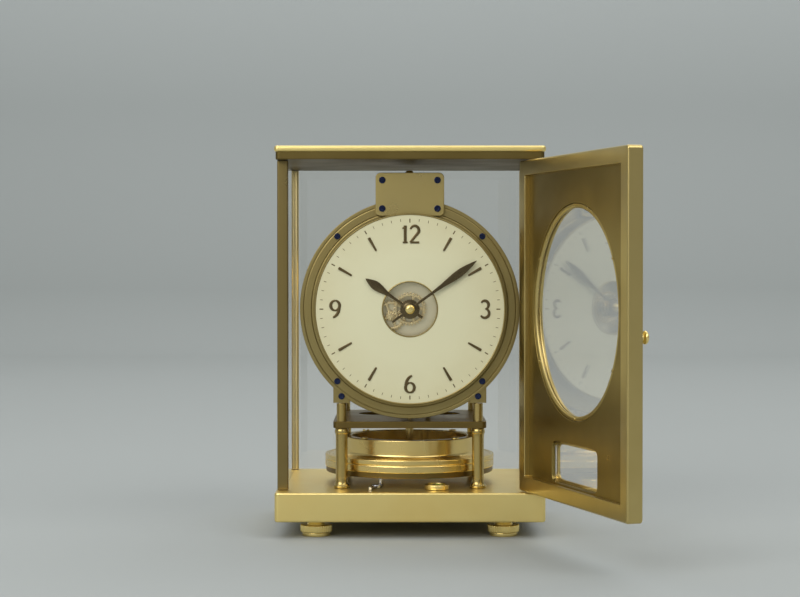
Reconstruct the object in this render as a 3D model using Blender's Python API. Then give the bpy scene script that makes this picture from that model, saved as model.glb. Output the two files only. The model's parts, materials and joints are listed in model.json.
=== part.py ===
"""An atmospheric clock: a torsion pendulum clock that is wound by changes in the air's temperature.

A gilt brass case of base, top, four posts, three panes and a hinged front door holds the works on four
pillars. A sealed bellows in a drum behind the works breathes with the temperature and draws a fine chain
over a guide pulley to a chain wheel, which winds the barrel. A short train drives an upright escape wheel,
and a fork passes the impulse to a heavy pendulum that twists on a thin wire inside a tube.

Lengths are metres. The case has x to the right, y to the back and z up, with the pendulum's axis at x = y = 0
and the table at z = 0. The works are drawn in the dial's own frame, where x is to the right, y is up and z is
forward from the pendulum's axis. The finished clock stands with the middle of its fixed rear foot at the
origin. The door stands open.
"""
import math

import bmesh
import bpy

# Clearances and the fineness of round pieces
SEAT = 0.0003
RUNNING = 0.0003
OVERRUN = 0.002
BROAD_STEPS = 40
ROUND_STEPS = 24
SMALL_STEPS = 12
FINE_STEPS = 8
CORNER_STEPS = 3
EDGE_STEPS = 2
SHARP_ANGLE = math.radians(35)

# Case, which stands round the works with room on every side
SIDE_ROOM = 0.014
FRONT_ROOM = 0.0082
BACK_ROOM = 0.0107
NUT_ROOM = 0.0032
CORNER_RADIUS = 0.0025
EDGE_ROUND = 0.0012
BASE_LIFT = 0.010
BASE_THICKNESS = 0.0175
TOP_THICKNESS = 0.008
POST_WIDTH = 0.0065
POST_ROUND = 0.0008
POST_INSET = 0.001
FRONT_POST_SETBACK = 0.0125
PANE_THICKNESS = 0.002
PANE_ENTRY = 0.0012
GROOVE_DEPTH = 0.0015

# Feet
FOOT_SIDE_INSET = 0.024
FRONT_FOOT_INSET = 0.018
REAR_FOOT_INSET = 0.018
FOOT_RADIUS = 0.0085
PAD_HEIGHT = 0.0022
WHEEL_RADIUS = 0.0095
WHEEL_HEIGHT = 0.0045
KNURL_DEPTH = 0.0004
KNURL_COUNT = 20
NECK_RADIUS = 0.005
STUD_RADIUS = 0.0025
STUD_LENGTH = 0.008

# Door
DOOR_OPEN = math.radians(107.5)
HINGE_INSET = 0.0094
HINGE_DEPTH = 0.0045
DOOR_INSET = 0.0026
DOOR_OVERHANG = 0.0056
DOOR_THICKNESS = 0.009
DOOR_PANEL = 0.006
DOOR_GAP = 0.0006
DOOR_CORNER = 0.002
RIM_WIDTH = 0.009
WINDOW_MARGIN = 0.0035
WINDOW_LIP = 0.002
LIP_THICKNESS = 0.0015
DOOR_GLASS = 0.002
RETAINER_WIDTH = 0.0028
RETAINER_THICKNESS = 0.0016
LOW_WINDOW_WIDTH = 0.060
LOW_WINDOW_HEIGHT = 0.020
LOW_WINDOW_CORNER = 0.003
LOW_WINDOW_MARGIN = 0.0009
HINGE_PIN_RADIUS = 0.0016
HINGE_PIN_ENTRY = 0.0095
HINGE_SOCKET_DEPTH = 0.0055
KNOB_INSET = 0.0045
KNOB_DROP = 0.0115
KNOB_SHAFT_RADIUS = 0.0012
KNOB_RADIUS = 0.0036
KNOB_HEIGHT = 0.0042

# Pillars, platform and main plate
PILLAR_INSET = 0.025
PILLAR_RADIUS = 0.004
PILLAR_NECK_RADIUS = 0.003
PILLAR_FOOT_RADIUS = 0.005
PILLAR_FOOT_HEIGHT = 0.002
PLATFORM_GAP = 0.008
PLATFORM_THICKNESS = 0.004
PLATFORM_MARGIN = 0.005
PLATFORM_CORNER = 0.003
STAFF_HOLE_RADIUS = 0.008
SIDE_WINDOW_RADIUS = 0.011
SIDE_WINDOW_SPREAD = 0.021
SIDE_WINDOW_BACK = 0.016
RING_GAP = 0.0015
RING_SHOW = 0.009
PLATE_THICKNESS = 0.004
RING_WIDTH = 0.015
DISC_MARGIN = 0.00705
PLATE_ARM_WIDTH = 0.013
PLATE_ARMS = 4
LUG_WIDTH = 0.010
LUG_LENGTH = 0.0012
BACK_PLATE_FRONT = 0.022
BACK_PLATE_THICKNESS = 0.0025
PLATE_PILLAR_RADIUS = 0.002
PLATE_PILLAR_INSET = 0.004
PLATE_PILLAR_ANGLES = (math.radians(60), math.radians(-15), math.radians(-132))

# Dial and hands
DIAL_RADIUS = 0.057
DIAL_LIFT = 0.0032
DIAL_THICKNESS = 0.0012
DIAL_EDGE = 0.0004
DIAL_OPENING = 0.016
DIAL_FOOT_RADIUS = 0.0015
DIAL_FOOT_INSET = 0.0035
DIAL_FOOT_ANGLES = (math.radians(30), math.radians(150), math.radians(270))
HAND_THICKNESS = 0.0008
HAND_SPACING = 0.0008
MINUTE_SHORT = 0.008
HOUR_SHORT = 0.017
HOUR_HUB_RADIUS = 0.0058
MINUTE_HUB_RADIUS = 0.0042
HAND_NECK = 0.0016
HOUR_LEAF = 0.0052
MINUTE_LEAF = 0.0044
HAND_POINTS = 9
HOUR_ANGLE = math.radians(-304.5)
MINUTE_ANGLE = math.radians(-54)
NUT_RADIUS = 0.0028
NUT_HEIGHT = 0.0014

# Teeth, as shares of the module or of the tooth's own pitch
MODULE = 0.0006
ADDENDUM_SHARE = 0.75
DEDENDUM_SHARE = 1.15
TIP_SHARE = 0.22
ROOT_SHARE = 0.50
CANNON_TEETH = 10
MINUTE_WHEEL_TEETH = 30
MINUTE_PINION_TEETH = 8
HOUR_WHEEL_TEETH = 32
GREAT_WHEEL_TEETH = 60
CENTRE_PINION_TEETH = 10
CENTRE_WHEEL_TEETH = 48
CONTRATE_PINION_TEETH = 16
CONTRATE_TEETH = 20
ESCAPE_PINION_TEETH = 15
MOTION_ANGLE = math.radians(200)
BARREL_ANGLE = math.radians(150)
CONTRATE_ANGLE = math.radians(-90)

# Arbors and wheels of the works
ARBOR_RADIUS = 0.001
PIVOT_RADIUS = 0.0008
WHEEL_THICKNESS = 0.0014
LAYER_GAP = 0.001
PLAY = 0.0004
CANNON_HEIGHT = 0.002
CANNON_PIPE_RADIUS = 0.0017
HOUR_PIPE_RADIUS = 0.0028
CANNON_PIPE_PROUD = 0.0001
WHEEL_RIM = 0.0022
WHEEL_HUB = 0.0032
WHEEL_ARM = 0.0016
WHEEL_ARMS = 5
WHEEL_LIFT = 0.0012
PINION_LIFT = 0.0063
CENTRE_PINION_LENGTH = 0.0035
BARREL_INSET = 0.00181
BARREL_DEPTH = 0.0065
BARREL_ROOM = 0.0016
BARREL_BOSS = 0.0032
BARREL_ARBOR_RADIUS = 0.0015
CONTRATE_PINION_LIFT = 0.0006
CONTRATE_PINION_LENGTH = 0.0026
CONTRATE_DISC_THICKNESS = 0.0015
CONTRATE_DISC_ROOM = 0.0025
CONTRATE_TOOTH_HEIGHT = 0.00115
CONTRATE_TOOTH_LENGTH = 0.0016
CONTRATE_TOOTH_SHARE = 0.36
CONTRATE_RIM = 0.00015
MESH_DEPTH = 0.0007

# Escapement on the platform
ESCAPE_PLAY = 0.003
ESCAPE_RADIUS = 0.0085
ESCAPE_TEETH = 15
ESCAPE_ROOT_SHARE = 0.76
ESCAPE_TOOTH_SHARES = (0.0, 0.46, 0.56, 0.66)
ESCAPE_BOSS = 0.0018
ESCAPE_PINION_LENGTH = 0.0022
PALLET_DISTANCE = 0.013
PALLET_SPAN = math.radians(30)
PALLET_WIDTH = math.radians(6)
PALLET_CLEARANCE = 0.0007
PALLET_LENGTH = 0.0022
LEVER_THICKNESS = 0.0014
LEVER_BOSS = 0.002
LEVER_WIDTH = 0.0018
FORK_WIDTH = 0.0034
FORK_SLOT = 0.0017
FORK_DEPTH = 0.0023
FORK_CLEARANCE = 0.0003
COCK_WIDTH = 0.0055
COCK_THICKNESS = 0.0018
COCK_REACH = 0.0105
COCK_LEG = 0.0035
PALLET_ARBOR_RISE = 0.0036

# Pendulum and suspension
PENDULUM_GAP = 0.00078
PENDULUM_LIFT = 0.0065
RIM_HEIGHT = 0.011
RIM_STEP = 0.0105
SHOULDER_WIDTH = 0.006
SHOULDER_HEIGHT = 0.011
WEB_LIFT = 0.004
WEB_THICKNESS = 0.004
WEB_RING = 0.0015
PENDULUM_ARMS = 4
PENDULUM_ARM_WIDTH = 0.014
PENDULUM_HUB = 0.010
PENDULUM_BOSS = 0.007
PENDULUM_BOSS_RISE = 0.006
PENDULUM_EDGE = 0.001
STAFF_RADIUS = 0.0025
STAFF_TOP_RADIUS = 0.0018
STAFF_RISE = 0.0075
ROLLER_RADIUS = 0.0063
ROLLER_THICKNESS = 0.0014
ROLLER_SINK = 0.0009
IMPULSE_REACH = 0.005
IMPULSE_RADIUS = 0.0006
IMPULSE_HEIGHT = 0.0028
WIRE_RADIUS = 0.00025
WIRE_SOCKET_RADIUS = 0.0007
WIRE_ENTRY = 0.0025
TUBE_RADIUS = 0.0036
TUBE_BORE = 0.0022
TUBE_GAP = 0.0019
TUBE_FLANGE = 0.0065
TUBE_FLANGE_HEIGHT = 0.002
TUBE_LIP = 0.0043
TUBE_LIP_HEIGHT = 0.003

# Top bridge and regulator
BRIDGE_WIDTH = 0.041
BRIDGE_LAP = 0.0105
BRIDGE_RISE = 0.008
BRIDGE_THICKNESS = 0.0033
BRIDGE_CORNER = 0.003
SHELF_WIDTH = 0.018
SHELF_GAP = 0.0035
SHELF_THICKNESS = 0.004
SHELF_BACK = 0.009
NUT_STEM_RADIUS = 0.002
COLLAR_RADIUS = 0.0035
COLLAR_HEIGHT = 0.0033
KNOB_FLARE_RADIUS = 0.0055
KNOB_FLARE_HEIGHT = 0.004
FINIAL_RADIUS = 0.0026
FINIAL_HEIGHT = 0.0042
REGULATOR_RING = 0.006
REGULATOR_LENGTH = 0.034
REGULATOR_WIDTH = 0.003
REGULATOR_TIP = 0.0008
REGULATOR_THICKNESS = 0.0014

# Bellows, drum and winding chain
DRUM_INSET = 0.016
DRUM_FRONT = 0.008
DRUM_WALL = 0.0025
BAND_GAP = 0.0025
BAND_PROUD = 0.0015
BAND_WIDTH = 0.008
BAND_TAB = 0.0082
STAY_RADIUS = 0.002
STAY_INSET = 0.0025
STAY_ANGLES = (math.radians(35), math.radians(110), math.radians(-40))
COVER_LAP = 0.0015
COVER_THICKNESS = 0.003
COVER_SKIRT = 0.0055
COVER_WALL = 0.0017
BELLOWS_GAP = 0.002
BELLOWS_FOLDS = 4
FOLD_DEPTH = 0.006
BELLOWS_LENGTH = 0.025
RIPPLE_COUNT = 3
RIPPLE_DEPTH = 0.0008
NIPPLE_RADIUS = 0.003
NIPPLE_HEIGHT = 0.0015
PUSH_PLATE_INSET = 0.0025
PUSH_PLATE_THICKNESS = 0.0015
PUSH_ROD_RADIUS = 0.002
ROD_HOLE_CLEARANCE = 0.001
SPRING_INSET = 0.007
SPRING_LENGTH = 0.0144
SPRING_WIRE = 0.001
SPRING_TURNS = 3.5
SPRING_POINTS_PER_TURN = 10
CHAIN_RADIUS = 0.0005
CHAIN_WHEEL_RADIUS = 0.005
CHAIN_WHEEL_FLANGE = 0.0059
CHAIN_WHEEL_WIDTH = 0.0028
CHAIN_WHEEL_GAP = 0.00135
GROOVE_WIDTH = 0.0018
PULLEY_RADIUS = 0.003
PULLEY_FLANGE = 0.0037
PULLEY_WIDTH = 0.0026
PULLEY_DROP = 0.0165
PULLEY_AXLE_RADIUS = 0.0007
EAR_THICKNESS = 0.0015
EAR_HEIGHT = 0.0056
EAR_PROUD = 0.0026
WRAP_ANGLE = math.radians(200)
CHAIN_STEPS = 20
RATCHET_RADIUS = 0.0072
RATCHET_ROOT = 0.0062
RATCHET_TEETH = 20
RATCHET_TOOTH_SHARES = (0, 0.1, 0.2, 0.9)
RATCHET_THICKNESS = 0.0013
CLICK_HUB = 0.0018
CLICK_REACH = 0.0098
CLICK_ANGLE = math.radians(-60)
CLICK_LEAD = math.radians(28)

# Fittings on the base
LEVEL_RADIUS = 0.0075
LEVEL_HEIGHT = 0.0038
LEVEL_DOME = 0.0055
LEVEL_SIDE = 0.016
LEVEL_LEAD = 0.0065
LOCK_SIDE = 0.020
LOCK_INSET = 0.0051
LOCK_ARM = 0.008
LOCK_FINGER = 0.011
LOCK_HUB = 0.0032
LOCK_THICKNESS = 0.0016
LOCK_WIDTH = 0.003
LOCK_TAB_RADIUS = 0.0017
LOCK_TAB_HEIGHT = 0.0035
LOCK_STUD_RADIUS = 0.0012
LOCK_STUD_DEPTH = 0.004
LOCK_REST = math.radians(70)

# The works from back to front: how far each layer lies forward of the pendulum's axis
BACK_PLATE_BACK = BACK_PLATE_FRONT - BACK_PLATE_THICKNESS
RATCHET_BACK = BACK_PLATE_BACK - SEAT - PLAY - RATCHET_THICKNESS
CHAIN_WHEEL_FORWARD = RATCHET_BACK - CHAIN_WHEEL_GAP - CHAIN_WHEEL_WIDTH / 2
PULLEY_FORWARD = CHAIN_WHEEL_FORWARD - PULLEY_RADIUS
CONTRATE_PINION_BACK = BACK_PLATE_FRONT + CONTRATE_PINION_LIFT
CENTRE_WHEEL_BACK = BACK_PLATE_FRONT + WHEEL_LIFT
CENTRE_PINION_BACK = CENTRE_WHEEL_BACK + PINION_LIFT
GREAT_WHEEL_BACK = CENTRE_PINION_BACK + LAYER_GAP
PLATE_BACK = GREAT_WHEEL_BACK + WHEEL_THICKNESS + BARREL_DEPTH + BARREL_ROOM
PLATE_FRONT = PLATE_BACK + PLATE_THICKNESS
CONTRATE_DISC_BACK = PLATE_BACK - CONTRATE_DISC_ROOM - CONTRATE_DISC_THICKNESS
CANNON_BACK = PLATE_FRONT + LAYER_GAP
MINUTE_WHEEL_BACK = CANNON_BACK + (CANNON_HEIGHT - WHEEL_THICKNESS) / 2
HOUR_WHEEL_BACK = CANNON_BACK + CANNON_HEIGHT + PLAY
DIAL_BACK = HOUR_WHEEL_BACK + WHEEL_THICKNESS + DIAL_LIFT
HOUR_HAND_BACK = DIAL_BACK + DIAL_THICKNESS + PLAY
MINUTE_HAND_BACK = HOUR_HAND_BACK + HAND_THICKNESS + HAND_SPACING
CANNON_FRONT = MINUTE_HAND_BACK + HAND_THICKNESS + CANNON_PIPE_PROUD

# Arbors and wheels within the plates
BARREL_DISTANCE = MODULE * (GREAT_WHEEL_TEETH + CENTRE_PINION_TEETH) / 2
BARREL_X = BARREL_DISTANCE * math.cos(BARREL_ANGLE)
BARREL_UP = BARREL_DISTANCE * math.sin(BARREL_ANGLE)
BARREL_RADIUS = MODULE * (GREAT_WHEEL_TEETH / 2 - DEDENDUM_SHARE) - BARREL_INSET
MOTION_DISTANCE = MODULE * (CANNON_TEETH + MINUTE_WHEEL_TEETH) / 2
CONTRATE_DROP = MODULE * (CENTRE_WHEEL_TEETH + CONTRATE_PINION_TEETH) / 2
CONTRATE_RADIUS = MODULE * CONTRATE_TEETH / 2
ESCAPE_PINION_RADIUS = MODULE * ESCAPE_PINION_TEETH / 2
ESCAPE_FORWARD = CONTRATE_DISC_BACK - ESCAPE_PINION_RADIUS - MESH_DEPTH
PALLET_FORWARD = ESCAPE_FORWARD - PALLET_DISTANCE
CHAIN_X = BARREL_X - CHAIN_WHEEL_RADIUS
PULLEY_UP = BARREL_UP - PULLEY_DROP
CENTRE_DISC_RADIUS = math.hypot(CHAIN_X, PULLEY_UP) + DISC_MARGIN
PLATE_PILLAR_REACH = CENTRE_DISC_RADIUS - PLATE_PILLAR_INSET
STAY_REACH = CENTRE_DISC_RADIUS - STAY_INSET

# Round pieces that follow the dial
RING_RADIUS = DIAL_RADIUS + RING_SHOW
WINDOW_RADIUS = DIAL_RADIUS + WINDOW_MARGIN
DIAL_FOOT_REACH = DIAL_RADIUS - DIAL_FOOT_INSET
MINUTE_LENGTH = DIAL_RADIUS - MINUTE_SHORT
HOUR_LENGTH = MINUTE_LENGTH - HOUR_SHORT
PILLAR_SPREAD = RING_RADIUS - PILLAR_INSET
TAB_INSIDE = PILLAR_SPREAD - LUG_WIDTH / 2
TAB_OUTSIDE = PILLAR_SPREAD + LUG_WIDTH / 2
LUG_DROP = math.sqrt(RING_RADIUS ** 2 - TAB_INSIDE ** 2) + LUG_LENGTH

# Drum, bellows and what lies in the drum
DRUM_RADIUS = RING_RADIUS - DRUM_INSET
DRUM_DEPTH = DRUM_WALL + SPRING_LENGTH + PUSH_PLATE_THICKNESS + SEAT + BELLOWS_LENGTH + SEAT
DRUM_BACK = DRUM_FRONT + DRUM_DEPTH
DRUM_INSIDE = DRUM_FRONT + DRUM_WALL
COVER_BACK = DRUM_BACK + SEAT + COVER_THICKNESS
BAND_RADIUS = DRUM_RADIUS + BAND_PROUD
BAND_DROP = math.sqrt(BAND_RADIUS ** 2 - TAB_INSIDE ** 2) + BAND_TAB
BAND_SETBACK = DRUM_DEPTH - COVER_SKIRT - BAND_GAP - BAND_WIDTH
BELLOWS_RADIUS = DRUM_RADIUS - DRUM_WALL - BELLOWS_GAP
BELLOWS_VALLEY = BELLOWS_RADIUS - FOLD_DEPTH
BELLOWS_BACK = DRUM_BACK - SEAT
BELLOWS_FRONT = BELLOWS_BACK - BELLOWS_LENGTH
COVER_OPENING = BELLOWS_VALLEY - COVER_LAP
PUSH_PLATE_RADIUS = BELLOWS_VALLEY - PUSH_PLATE_INSET
PUSH_PLATE_FRONT = BELLOWS_FRONT - SEAT - PUSH_PLATE_THICKNESS
SPRING_RADIUS = PUSH_PLATE_RADIUS - SPRING_INSET

# Pillars and pendulum
FRONT_PILLAR_FORWARD = PLATE_BACK + PLATE_THICKNESS / 2
REAR_PILLAR_BACK = DRUM_FRONT + BAND_SETBACK + BAND_WIDTH / 2
NEAREST_PILLAR = math.hypot(PILLAR_SPREAD, min(FRONT_PILLAR_FORWARD, REAR_PILLAR_BACK))
PENDULUM_RADIUS = NEAREST_PILLAR - PILLAR_RADIUS - PENDULUM_GAP
SHOULDER_RADIUS = PENDULUM_RADIUS - RIM_STEP
LOCK_FORWARD = math.sqrt((PENDULUM_RADIUS - LOCK_INSET) ** 2 - LOCK_SIDE ** 2)

# Heights from the table up
BASE_TOP = BASE_LIFT + BASE_THICKNESS
PENDULUM_Z = BASE_TOP + PENDULUM_LIFT
RIM_TOP = PENDULUM_Z + RIM_HEIGHT
SHOULDER_TOP = RIM_TOP + SHOULDER_HEIGHT
PLATFORM_Z = SHOULDER_TOP + PLATFORM_GAP
PLATFORM_TOP = PLATFORM_Z + PLATFORM_THICKNESS
ESCAPE_Z = PLATFORM_TOP + ESCAPE_PLAY
COCK_Z = ESCAPE_Z + LEVER_THICKNESS + PALLET_ARBOR_RISE - COCK_THICKNESS
ROLLER_Z = PLATFORM_TOP + ROLLER_SINK + SEAT
STAFF_TOP = ROLLER_Z + ROLLER_THICKNESS + STAFF_RISE
TUBE_BOTTOM = STAFF_TOP + TUBE_GAP
DIAL_Z = PLATFORM_TOP + RING_GAP + RING_RADIUS
ESCAPE_PINION_Z = DIAL_Z - CONTRATE_DROP - CONTRATE_RADIUS - ESCAPE_PINION_LENGTH / 2
SHELF_Z = DIAL_Z + RING_RADIUS + SHELF_GAP
SHELF_TOP = SHELF_Z + SHELF_THICKNESS
BRIDGE_BOTTOM = DIAL_Z + RING_RADIUS - BRIDGE_LAP
BRIDGE_TOP = SHELF_TOP + BRIDGE_RISE
NUT_TOP = SHELF_TOP + SEAT + COLLAR_HEIGHT + KNOB_FLARE_HEIGHT + FINIAL_HEIGHT
TOP_UNDER = NUT_TOP + NUT_ROOM
CASE_HEIGHT = TOP_UNDER + TOP_THICKNESS

# Case, door and feet
CASE_WIDTH = 2 * (RING_RADIUS + SIDE_ROOM)
FRONT_Y = -(CANNON_FRONT + SEAT + NUT_HEIGHT + FRONT_ROOM)
BACK_Y = COVER_BACK + BACK_ROOM
FRONT_FOOT_Y = FRONT_Y + FRONT_FOOT_INSET
REAR_FOOT_BACK = BACK_Y - REAR_FOOT_INSET
FOOT_SPREAD = CASE_WIDTH / 2 - FOOT_SIDE_INSET
HINGE_X = CASE_WIDTH / 2 - HINGE_INSET
HINGE_Y = FRONT_Y + HINGE_DEPTH
DOOR_REACH = CASE_WIDTH - HINGE_INSET - DOOR_INSET
DOOR_BOTTOM = BASE_TOP + DOOR_GAP
DOOR_TOP = TOP_UNDER - DOOR_GAP
LOW_WINDOW_LOW = DOOR_BOTTOM + RIM_WIDTH + LOW_WINDOW_MARGIN + WINDOW_LIP
LOW_WINDOW_Z = LOW_WINDOW_LOW + LOW_WINDOW_HEIGHT / 2
KNOB_Z = DIAL_Z - KNOB_DROP
POST_X = CASE_WIDTH / 2 - POST_INSET - POST_WIDTH / 2
FRONT_POST_Y = FRONT_Y + FRONT_POST_SETBACK + POST_WIDTH / 2
REAR_POST_Y = BACK_Y - POST_INSET - POST_WIDTH / 2
LEVEL_FORWARD = FRONT_PILLAR_FORWARD + LEVEL_LEAD

FORWARD = (math.radians(90), 0, 0)
SIDEWAYS = (0, math.radians(90), 0)


def clear_scene():
    """Removes whatever the open file holds."""
    for old in list(bpy.data.objects):
        bpy.data.objects.remove(old, do_unlink=True)


def finish(name, colour, roughness, metallic, transmission=0.0):
    """A material of one plain colour."""
    material = bpy.data.materials.new(name)
    material.use_nodes = True
    shader = material.node_tree.nodes["Principled BSDF"]
    shader.inputs["Base Color"].default_value = (*colour, 1)
    shader.inputs["Roughness"].default_value = roughness
    shader.inputs["Metallic"].default_value = metallic
    shader.inputs["Transmission Weight"].default_value = transmission
    material.diffuse_color = (*colour, 1)
    return material


def empty(name, parent=None, place=(0, 0, 0), turn=(0, 0, 0)):
    """A bare axis that pieces are hung on."""
    axis = bpy.data.objects.new(name, None)
    bpy.context.collection.objects.link(axis)
    axis.parent = parent
    axis.location = place
    axis.rotation_euler = turn
    return axis


def add(name, data, material, parent, place=(0, 0, 0), turn=(0, 0, 0)):
    """Puts a mesh or curve in the scene as one named piece."""
    piece = bpy.data.objects.new(name, data)
    bpy.context.collection.objects.link(piece)
    piece.parent = parent
    piece.location = place
    piece.rotation_euler = turn
    data.materials.append(material)
    return piece


def closed_mesh(name, shape):
    """Turns a bmesh into a mesh with outward faces and smooth round walls."""
    bmesh.ops.recalc_face_normals(shape, faces=shape.faces)
    mesh = bpy.data.meshes.new(name)
    shape.to_mesh(mesh)
    shape.free()
    mesh.shade_smooth()
    mesh.set_sharp_from_angle(angle=SHARP_ANGLE)
    return mesh


def stacked(name, prisms):
    """A closed solid of flat layers along z.

    Each prism is (low, high, outline) or, where its wall slopes, (low, high, lower outline, upper outline). An
    outline inside another is a hole in it. Wherever the outlines change, the face between them is filled.
    """
    shape = bmesh.new()
    made = {}

    def loop(outline, height):
        key = (id(outline), round(height, 7))
        if key not in made:
            made[key] = [shape.verts.new((x, y, height)) for x, y in outline]
        return made[key]

    ends = {round(height, 7): [] for prism in prisms for height in prism[:2]}
    for prism in prisms:
        lower, upper = loop(prism[2], prism[0]), loop(prism[-1], prism[1])
        for i in range(len(lower)):
            j = (i + 1) % len(lower)
            shape.faces.new((lower[i], lower[j], upper[j], upper[i]))
        ends[round(prism[0], 7)].append(lower)
        ends[round(prism[1], 7)].append(upper)
    for loops in ends.values():
        single = [one for one in loops if sum(one is other for other in loops) == 1]
        edges = [shape.edges.get((one[i - 1], one[i])) for one in single for i in range(len(one))]
        if edges:
            bmesh.ops.triangle_fill(shape, use_beauty=True, edges=edges)
    return closed_mesh(name, shape)


def turned(name, profile, steps):
    """A solid of revolution about z.

    The profile's points (radius, height) run from the axis round to the axis, or close on themselves where they
    stay off it.
    """
    shape = bmesh.new()
    rows = []
    for radius, height in profile:
        count = steps if radius > 0 else 1
        rows.append([shape.verts.new((x, y, height)) for x, y in circle(radius, count)])
    if profile[0][0] > 0:
        rows.append(rows[0])
    for lower, upper in zip(rows, rows[1:]):
        for i in range(steps):
            j = (i + 1) % steps
            corners = (lower[i % len(lower)], lower[j % len(lower)], upper[j % len(upper)], upper[i % len(upper)])
            shape.faces.new(list(dict.fromkeys(corners)))
    return closed_mesh(name, shape)


def tube(name, points, radius, sides):
    """A round wire along the points, with closed ends."""
    curve = bpy.data.curves.new(name, "CURVE")
    curve.dimensions = "3D"
    curve.bevel_depth = radius
    curve.bevel_resolution = sides
    curve.use_fill_caps = True
    line = curve.splines.new("POLY")
    line.points.add(len(points) - 1)
    for spot, point in zip(line.points, points):
        spot.co = (*point, 1)
    return curve


def cut(piece, name, data, place=(0, 0, 0), turn=(0, 0, 0)):
    """Cuts a hidden tool out of a piece."""
    tool = bpy.data.objects.new(name, data)
    bpy.context.collection.objects.link(tool)
    tool.parent = piece.parent
    tool.location = place
    tool.rotation_euler = turn
    tool.hide_render = True
    tool.display_type = "WIRE"
    modifier = piece.modifiers.new(name, "BOOLEAN")
    modifier.operation = "DIFFERENCE"
    modifier.solver = "EXACT"
    modifier.object = tool


def circle(radius, steps, centre=(0, 0), start=0.0):
    """Points round a circle, the first at the angle start."""
    return [
        (centre[0] + radius * math.cos(start + math.tau * i / steps),
         centre[1] + radius * math.sin(start + math.tau * i / steps))
        for i in range(steps)
    ]


def arc(radius, start, end, steps, centre=(0, 0)):
    """Points along part of a circle, both ends included."""
    return [
        (centre[0] + radius * math.cos(start + (end - start) * i / steps),
         centre[1] + radius * math.sin(start + (end - start) * i / steps))
        for i in range(steps + 1)
    ]


def rectangle(left, right, low, high, corner=0.0):
    """A rectangle, with round corners where a corner radius is given."""
    if not corner:
        return [(left, low), (right, low), (right, high), (left, high)]
    middles = (
        (right - corner, high - corner),
        (left + corner, high - corner),
        (left + corner, low + corner),
        (right - corner, low + corner),
    )
    quarter = math.tau / 4
    return [
        point
        for i, middle in enumerate(middles)
        for point in arc(corner, i * quarter, (i + 1) * quarter, CORNER_STEPS, middle)
    ]


def rounded_edge(outline_at, low, high, edge, top=True, bottom=True):
    """Prisms of a slab whose upper and lower edges are quarter rounds. outline_at gives the outline for an inset."""
    full = outline_at(0)
    prisms = []
    rises = [edge * (1 - math.cos(math.tau / 4 * i / EDGE_STEPS)) for i in range(EDGE_STEPS + 1)]
    rings = [outline_at(edge * (1 - math.sin(math.tau / 4 * i / EDGE_STEPS))) for i in range(EDGE_STEPS)] + [full]
    for i in range(EDGE_STEPS):
        if bottom:
            prisms.append((low + rises[i], low + rises[i + 1], rings[i], rings[i + 1]))
        if top:
            prisms.append((high - rises[i + 1], high - rises[i], rings[i + 1], rings[i]))
    prisms.append((low + edge * bottom, high - edge * top, full))
    return prisms


def gear(teeth, start=0.0):
    """The outline of a toothed wheel with one tooth's middle at the angle start."""
    pitch_radius = MODULE * teeth / 2
    tip = pitch_radius + MODULE * ADDENDUM_SHARE
    root = pitch_radius - MODULE * DEDENDUM_SHARE
    step = math.tau / teeth
    corners = ((root, -ROOT_SHARE / 2), (tip, -TIP_SHARE / 2), (tip, TIP_SHARE / 2), (root, ROOT_SHARE / 2))
    return [
        (radius * math.cos(start + (i + share) * step), radius * math.sin(start + (i + share) * step))
        for i in range(teeth)
        for radius, share in corners
    ]


def saw(radius, root, teeth, shares, start=0.0):
    """The outline of a wheel with slanting teeth. The shares place root, tip, tip and root within one pitch."""
    step = math.tau / teeth
    return [
        (at * math.cos(start + (i + share) * step), at * math.sin(start + (i + share) * step))
        for i in range(teeth)
        for at, share in zip((root, radius, radius, root), shares)
    ]


def windows(inner, outer, count, arm, steps, start=0.0):
    """The openings between a wheel's arms, each arm of one width from hub to rim."""
    openings = []
    for i in range(count):
        middle = start + math.tau * (i + 0.5) / count
        wide = math.pi / count - math.asin(arm / 2 / outer)
        narrow = math.pi / count - math.asin(arm / 2 / inner)
        openings.append(
            arc(outer, middle - wide, middle + wide, steps) + arc(inner, middle + narrow, middle - narrow, steps)
        )
    return openings


def tabbed_disc(radius, drop):
    """A disc with two tabs that reach down to the pillars on either side."""
    far = math.acos(TAB_OUTSIDE / radius)
    near = math.acos(TAB_INSIDE / radius)
    return (
        arc(radius, -far, math.pi + far, BROAD_STEPS * 3 // 4)
        + [(-TAB_OUTSIDE, -drop), (-TAB_INSIDE, -drop)]
        + arc(radius, math.pi + near, math.tau - near, BROAD_STEPS // 4)
        + [(TAB_INSIDE, -drop), (TAB_OUTSIDE, -drop)]
    )


def spot(reach, angle):
    """The point at a distance and an angle from the middle."""
    return reach * math.cos(angle), reach * math.sin(angle)


def post_outline(pane_sides):
    """A square post with a slot in each side that takes a pane. The sides are angles from the post's middle."""
    half = POST_WIDTH / 2
    slot = PANE_THICKNESS / 2 + SEAT
    outline = []
    quarter = math.tau / 4
    for i in range(4):
        angle = i * quarter
        side = [(half, -half + POST_ROUND)]
        if any(abs(angle - pane) < quarter / 2 for pane in pane_sides):
            side += [(half, -slot), (half - GROOVE_DEPTH, -slot), (half - GROOVE_DEPTH, slot), (half, slot)]
        side += arc(POST_ROUND, 0, quarter, CORNER_STEPS, (half - POST_ROUND, half - POST_ROUND))
        side = side[:-1]
        turn_cos, turn_sin = math.cos(angle), math.sin(angle)
        outline += [(x * turn_cos - y * turn_sin, x * turn_sin + y * turn_cos) for x, y in side]
    return outline


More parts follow.
